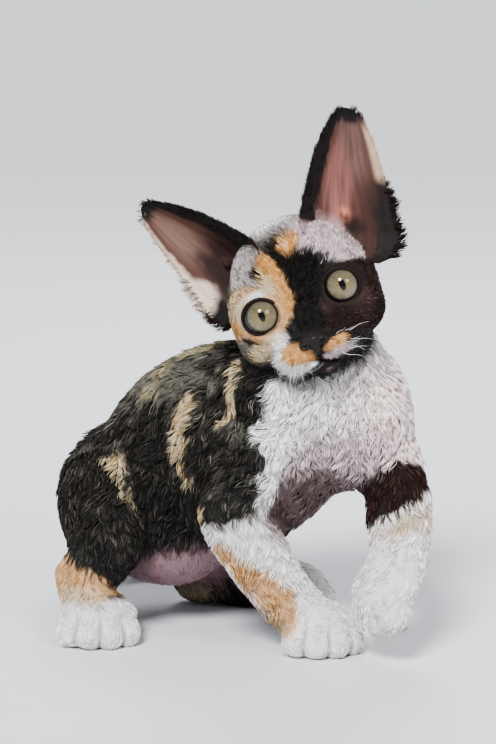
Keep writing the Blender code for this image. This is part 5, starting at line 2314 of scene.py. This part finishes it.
@dataclass
class Whiskers:
    """Short, pale, crooked whiskers and brow hairs.

    Attributes:
        count: How many whiskers each side has.
        length: The shortest and the longest.
        thickness: Radius of one at its root.
        brow: How many brow hairs each side has.
        seed: The seed of their chance.
    """

    count: int = 9
    length: tuple[float, float] = (7.0, 12.5)
    thickness: float = 0.14
    brow: int = 2
    seed: int = 5

    def strand(
        self, root: Rows, way: Rows, long: float, rng: np.random.Generator
    ) -> tuple[Rows, Rows]:
        """One whisker.

        Args:
            root: Where it grows, in the head's frame.
            way: The way it points.
            long: Its length.
            rng: The seeded source of chance.

        Returns:
            Its corners and its triangles.
        """
        t = np.linspace(0, 1, 13)
        bend = unit(np.cross(way, rng.normal(0, 1, 3)))
        other = np.cross(way, bend)
        curve = long * (0.2 * t**2 + 0.03 * np.sin(t * 8 + rng.uniform(0, 6)))
        twist = long * 0.03 * np.sin(t * 7 + rng.uniform(0, 6))
        line = root + way * (long * t)[:, None] + bend * curve[:, None] + other * twist[:, None]
        a = np.arange(5) * 2 * math.pi / 5
        section = np.cos(a)[:, None] * bend + np.sin(a)[:, None] * other
        wide = self.thickness * (1 - 0.85 * t)
        return rod(line[:, None] + section[None] * wide[:, None, None])

    def build(self) -> bpy.types.Object:
        """Builds every whisker as one piece.

        Returns:
            The piece.
        """
        rng = np.random.default_rng(self.seed)
        rods = []
        for side in (1, -1):
            for k in range(self.count):
                row, file = k % 3, k // 3
                root = np.array((16.5 - 2.0 * file, side * (7.0 + 2.6 * file), -17.4 - 2.4 * row))
                root += rng.normal(0, 0.35, 3)
                drop = 0.25 - 0.42 * row if side > 0 else -0.35 - 0.45 * row
                way = unit(np.array((0.5, side * 1.0, drop)) + rng.normal(0, 0.16, 3))
                rods.append(self.strand(root, way, rng.uniform(*self.length), rng))
            for k in range(self.brow):
                root = np.array((3.0 - k, side * (13.0 + 2.2 * k), 11.2 + 0.6 * k))
                way = unit(np.array((0.6, side * 0.5, 0.9)) + rng.normal(0, 0.12, 3))
                rods.append(self.strand(root, way, rng.uniform(4, 6), rng))
        points, faces = gathered(rods)
        paint = np.tile(np.array((0.85, 0.83, 0.80)), (len(points), 1))
        made = mesh_piece("whiskers", PLACE.outward(points), faces, paint, WHISKER)
        return made


@dataclass
class Claws:
    """Small pale claws, half hidden in the toes.

    Attributes:
        length: Length of a claw.
        thickness: Half its height at its root.
        root: How far its root is ahead of the toe's middle and how far above it.
        droop: How far its tip drops.
    """

    length: float = 2.6
    thickness: float = 0.7
    root: tuple[float, float] = (5.4, -0.6)
    droop: float = 1.6

    def build(self) -> bpy.types.Object:
        """Builds every claw as one piece.

        Returns:
            The piece.
        """
        t = np.linspace(0, 1, 9)[:, None]
        a = np.arange(8) * 2 * math.pi / 8
        ahead = self.root[0] + self.length * t
        rise = self.root[1] - self.droop * t**2
        wide = self.thickness * (1 - t**1.6 * 0.93)
        level = np.broadcast_to(ahead, (9, 8))
        claw, faces = rod(np.stack([level, 0.6 * wide * np.cos(a), rise + wide * np.sin(a)], axis=-1))
        rods = []
        for _, _, _, place, toward in BODY.fore + BODY.hind:
            for at, turn in BODY.toes(np.array(place, float), toward):
                points = claw @ np.array(turn).T + at + BODY_SHIFT
                points[:, 2] = np.maximum(points[:, 2], CLAW_FLOOR)
                rods.append((points, faces))
        points, faces = gathered(rods)
        paint = np.tile(np.array((0.62, 0.50, 0.46)), (len(points), 1))
        made = mesh_piece("claws", points, faces, paint, HORN)
        return made


@dataclass
class Pads:
    """The bare pads under the raised paw.

    Attributes:
        toe: Radii of a toe's pad.
        palm: Radii of the pad behind them.
    """

    toe: Spot = (3.4, 2.7, 2.0)
    palm: Spot = (5.4, 6.4, 2.6)

    def build(self) -> bpy.types.Object:
        """Builds the pads as one piece.

        Returns:
            The piece.
        """
        _, _, _, place, toward = BODY.fore[1]
        turn = Clay.facing(toward)
        masses = []
        for at, spin in BODY.toes(np.array(place, float), toward):
            spot = Vector(at) + spin @ Vector((0.8, 0, -BODY.toe_radius * 0.8))
            masses.append(Clay.ball(tuple(spot), self.toe, spin))
        spot = Vector(place) + turn @ Vector((-1.0, 0, -BODY.paw[2] * 0.86))
        masses.append(Clay.ball(tuple(spot), self.palm, turn))
        pads = Clay.fused(masses, 0.4, 4)
        points = corners(pads.data) + BODY_SHIFT
        set_corners(pads.data, points * MM)
        tint = 1 + 0.2 * noise(points, 2.0, 6.0)
        painted(pads.data, np.array((0.42, 0.20, 0.18)) * tint[:, None])
        pads.name = "paw_pads"
        pads.data.shade_smooth()
        pads.data.materials.append(NOSE_LEATHER.material())
        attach(pads, "root")
        return pads


@dataclass
class Studio:
    """Pale floor, soft lights and the camera.

    Attributes:
        azimuth: Degrees of the camera round the model.
        elevation: Degrees of the camera above the floor.
        distance: Metres from the camera to what it looks at.
        target: What it looks at, in metres.
        focal: How many pixels wide something as wide as its distance shows.
        picture_height: Height of the picture in pixels.
        sensor: Height of the sensor in millimetres.
        light_distance: Metres from each light to what it looks at.
    """

    azimuth: float = 38.0
    elevation: float = 10.0
    distance: float = 1.0
    target: Spot = (0.0129, 0.0029, 0.114)
    focal: float = 2350.0
    picture_height: float = 744.0
    sensor: float = 24.0
    light_distance: float = 1.4

    def camera(self) -> None:
        """Places the camera."""
        data = bpy.data.cameras.new("camera")
        data.sensor_fit = "VERTICAL"
        data.sensor_height = self.sensor
        data.lens = self.sensor * self.focal / self.picture_height
        made = bpy.data.objects.new("camera", data)
        bpy.context.scene.collection.objects.link(made)
        back = heading(self.azimuth, self.elevation)
        made.location = Vector(self.target) + back * self.distance
        made.rotation_euler = back.to_track_quat("Z", "Y").to_euler()
        bpy.context.scene.camera = made

    def light(self, name: str, azimuth: float, elevation: float, size: float, power: float) -> None:
        """One soft light that looks at the model.

        Args:
            name: Its name.
            azimuth: Degrees round the model.
            elevation: Degrees above the floor.
            size: Degrees across for a sun, or metres across for a panel.
            power: Its strength.
        """
        sun = size > 3
        data = bpy.data.lights.new(name, "SUN" if sun else "AREA")
        data.energy = power
        if sun:
            data.angle = math.radians(size)
        else:
            data.shape = "DISK"
            data.size = size
        way = heading(azimuth, elevation)
        made = bpy.data.objects.new(name, data)
        made.location = Vector(self.target) + way * self.light_distance
        made.rotation_euler = way.to_track_quat("Z", "Y").to_euler()
        bpy.context.scene.collection.objects.link(made)

    def build(self) -> None:
        """Builds the floor, the sky, the lights and the camera."""
        bm = bmesh.new()
        bmesh.ops.create_grid(bm, x_segments=1, y_segments=1, size=60.0)
        floor = Clay.linked(bm, "floor")
        paper = bpy.data.materials.new("floor_paper")
        paper.use_nodes = True
        surface = paper.node_tree.nodes["Principled BSDF"]
        surface.inputs["Base Color"].default_value = (0.70, 0.72, 0.75, 1)
        surface.inputs["Roughness"].default_value = 0.6
        floor.data.materials.append(paper)
        world = bpy.data.worlds.new("sky")
        world.use_nodes = True
        sky = world.node_tree.nodes["Background"]
        sky.inputs["Color"].default_value = (0.9, 0.94, 1.0, 1)
        sky.inputs["Strength"].default_value = 0.4
        bpy.context.scene.world = world
        bpy.context.scene.view_settings.look = "AgX - Medium High Contrast"
        self.light("key", 20, 44, 18.0, 4.6)
        self.light("fill", 78, 34, 0.5, 6.2)
        self.light("rim", 215, 50, 0.6, 9.0)
        self.camera()


def main() -> None:
    """Builds every piece in order."""
    logging.basicConfig(level=logging.INFO, format="%(name)s %(message)s")
    Studio().build()
    flesh = Skin()
    skin = flesh.build()
    LOG.info("skin: %d faces", len(skin.data.polygons))
    share = 1.0
    coats = Coat(skin, flesh.mouth, share=share).build()
    LOG.info("coat: %d pieces", len(coats))
    for name, side in (("eye_left", 1), ("eye_right", -1)):
        Eye(name, side).build()
        Lids(name.replace("eye", "lids"), side).build()
    left = Ear("ear_left", 1, (-4, 11, 31), (-15, 46, 9), (-11, 44, 66.5), (0.6, 0.4))
    right = Ear("ear_right", -1, (-4, 10, 31), (-15, 38, 5.5), (-11, 47, 60), (0.62, 0.5))
    for ear in (left, right):
        ear.build()
        EarCoat(ear, share).build()
    LOG.info("eyes, lids and ears are in")
    NoseLeather().build()
    Whiskers().build()
    Claws().build()
    Pads().build()
    LOG.info("nose, whiskers and claws are in")


if __name__ == "__main__":
    main()
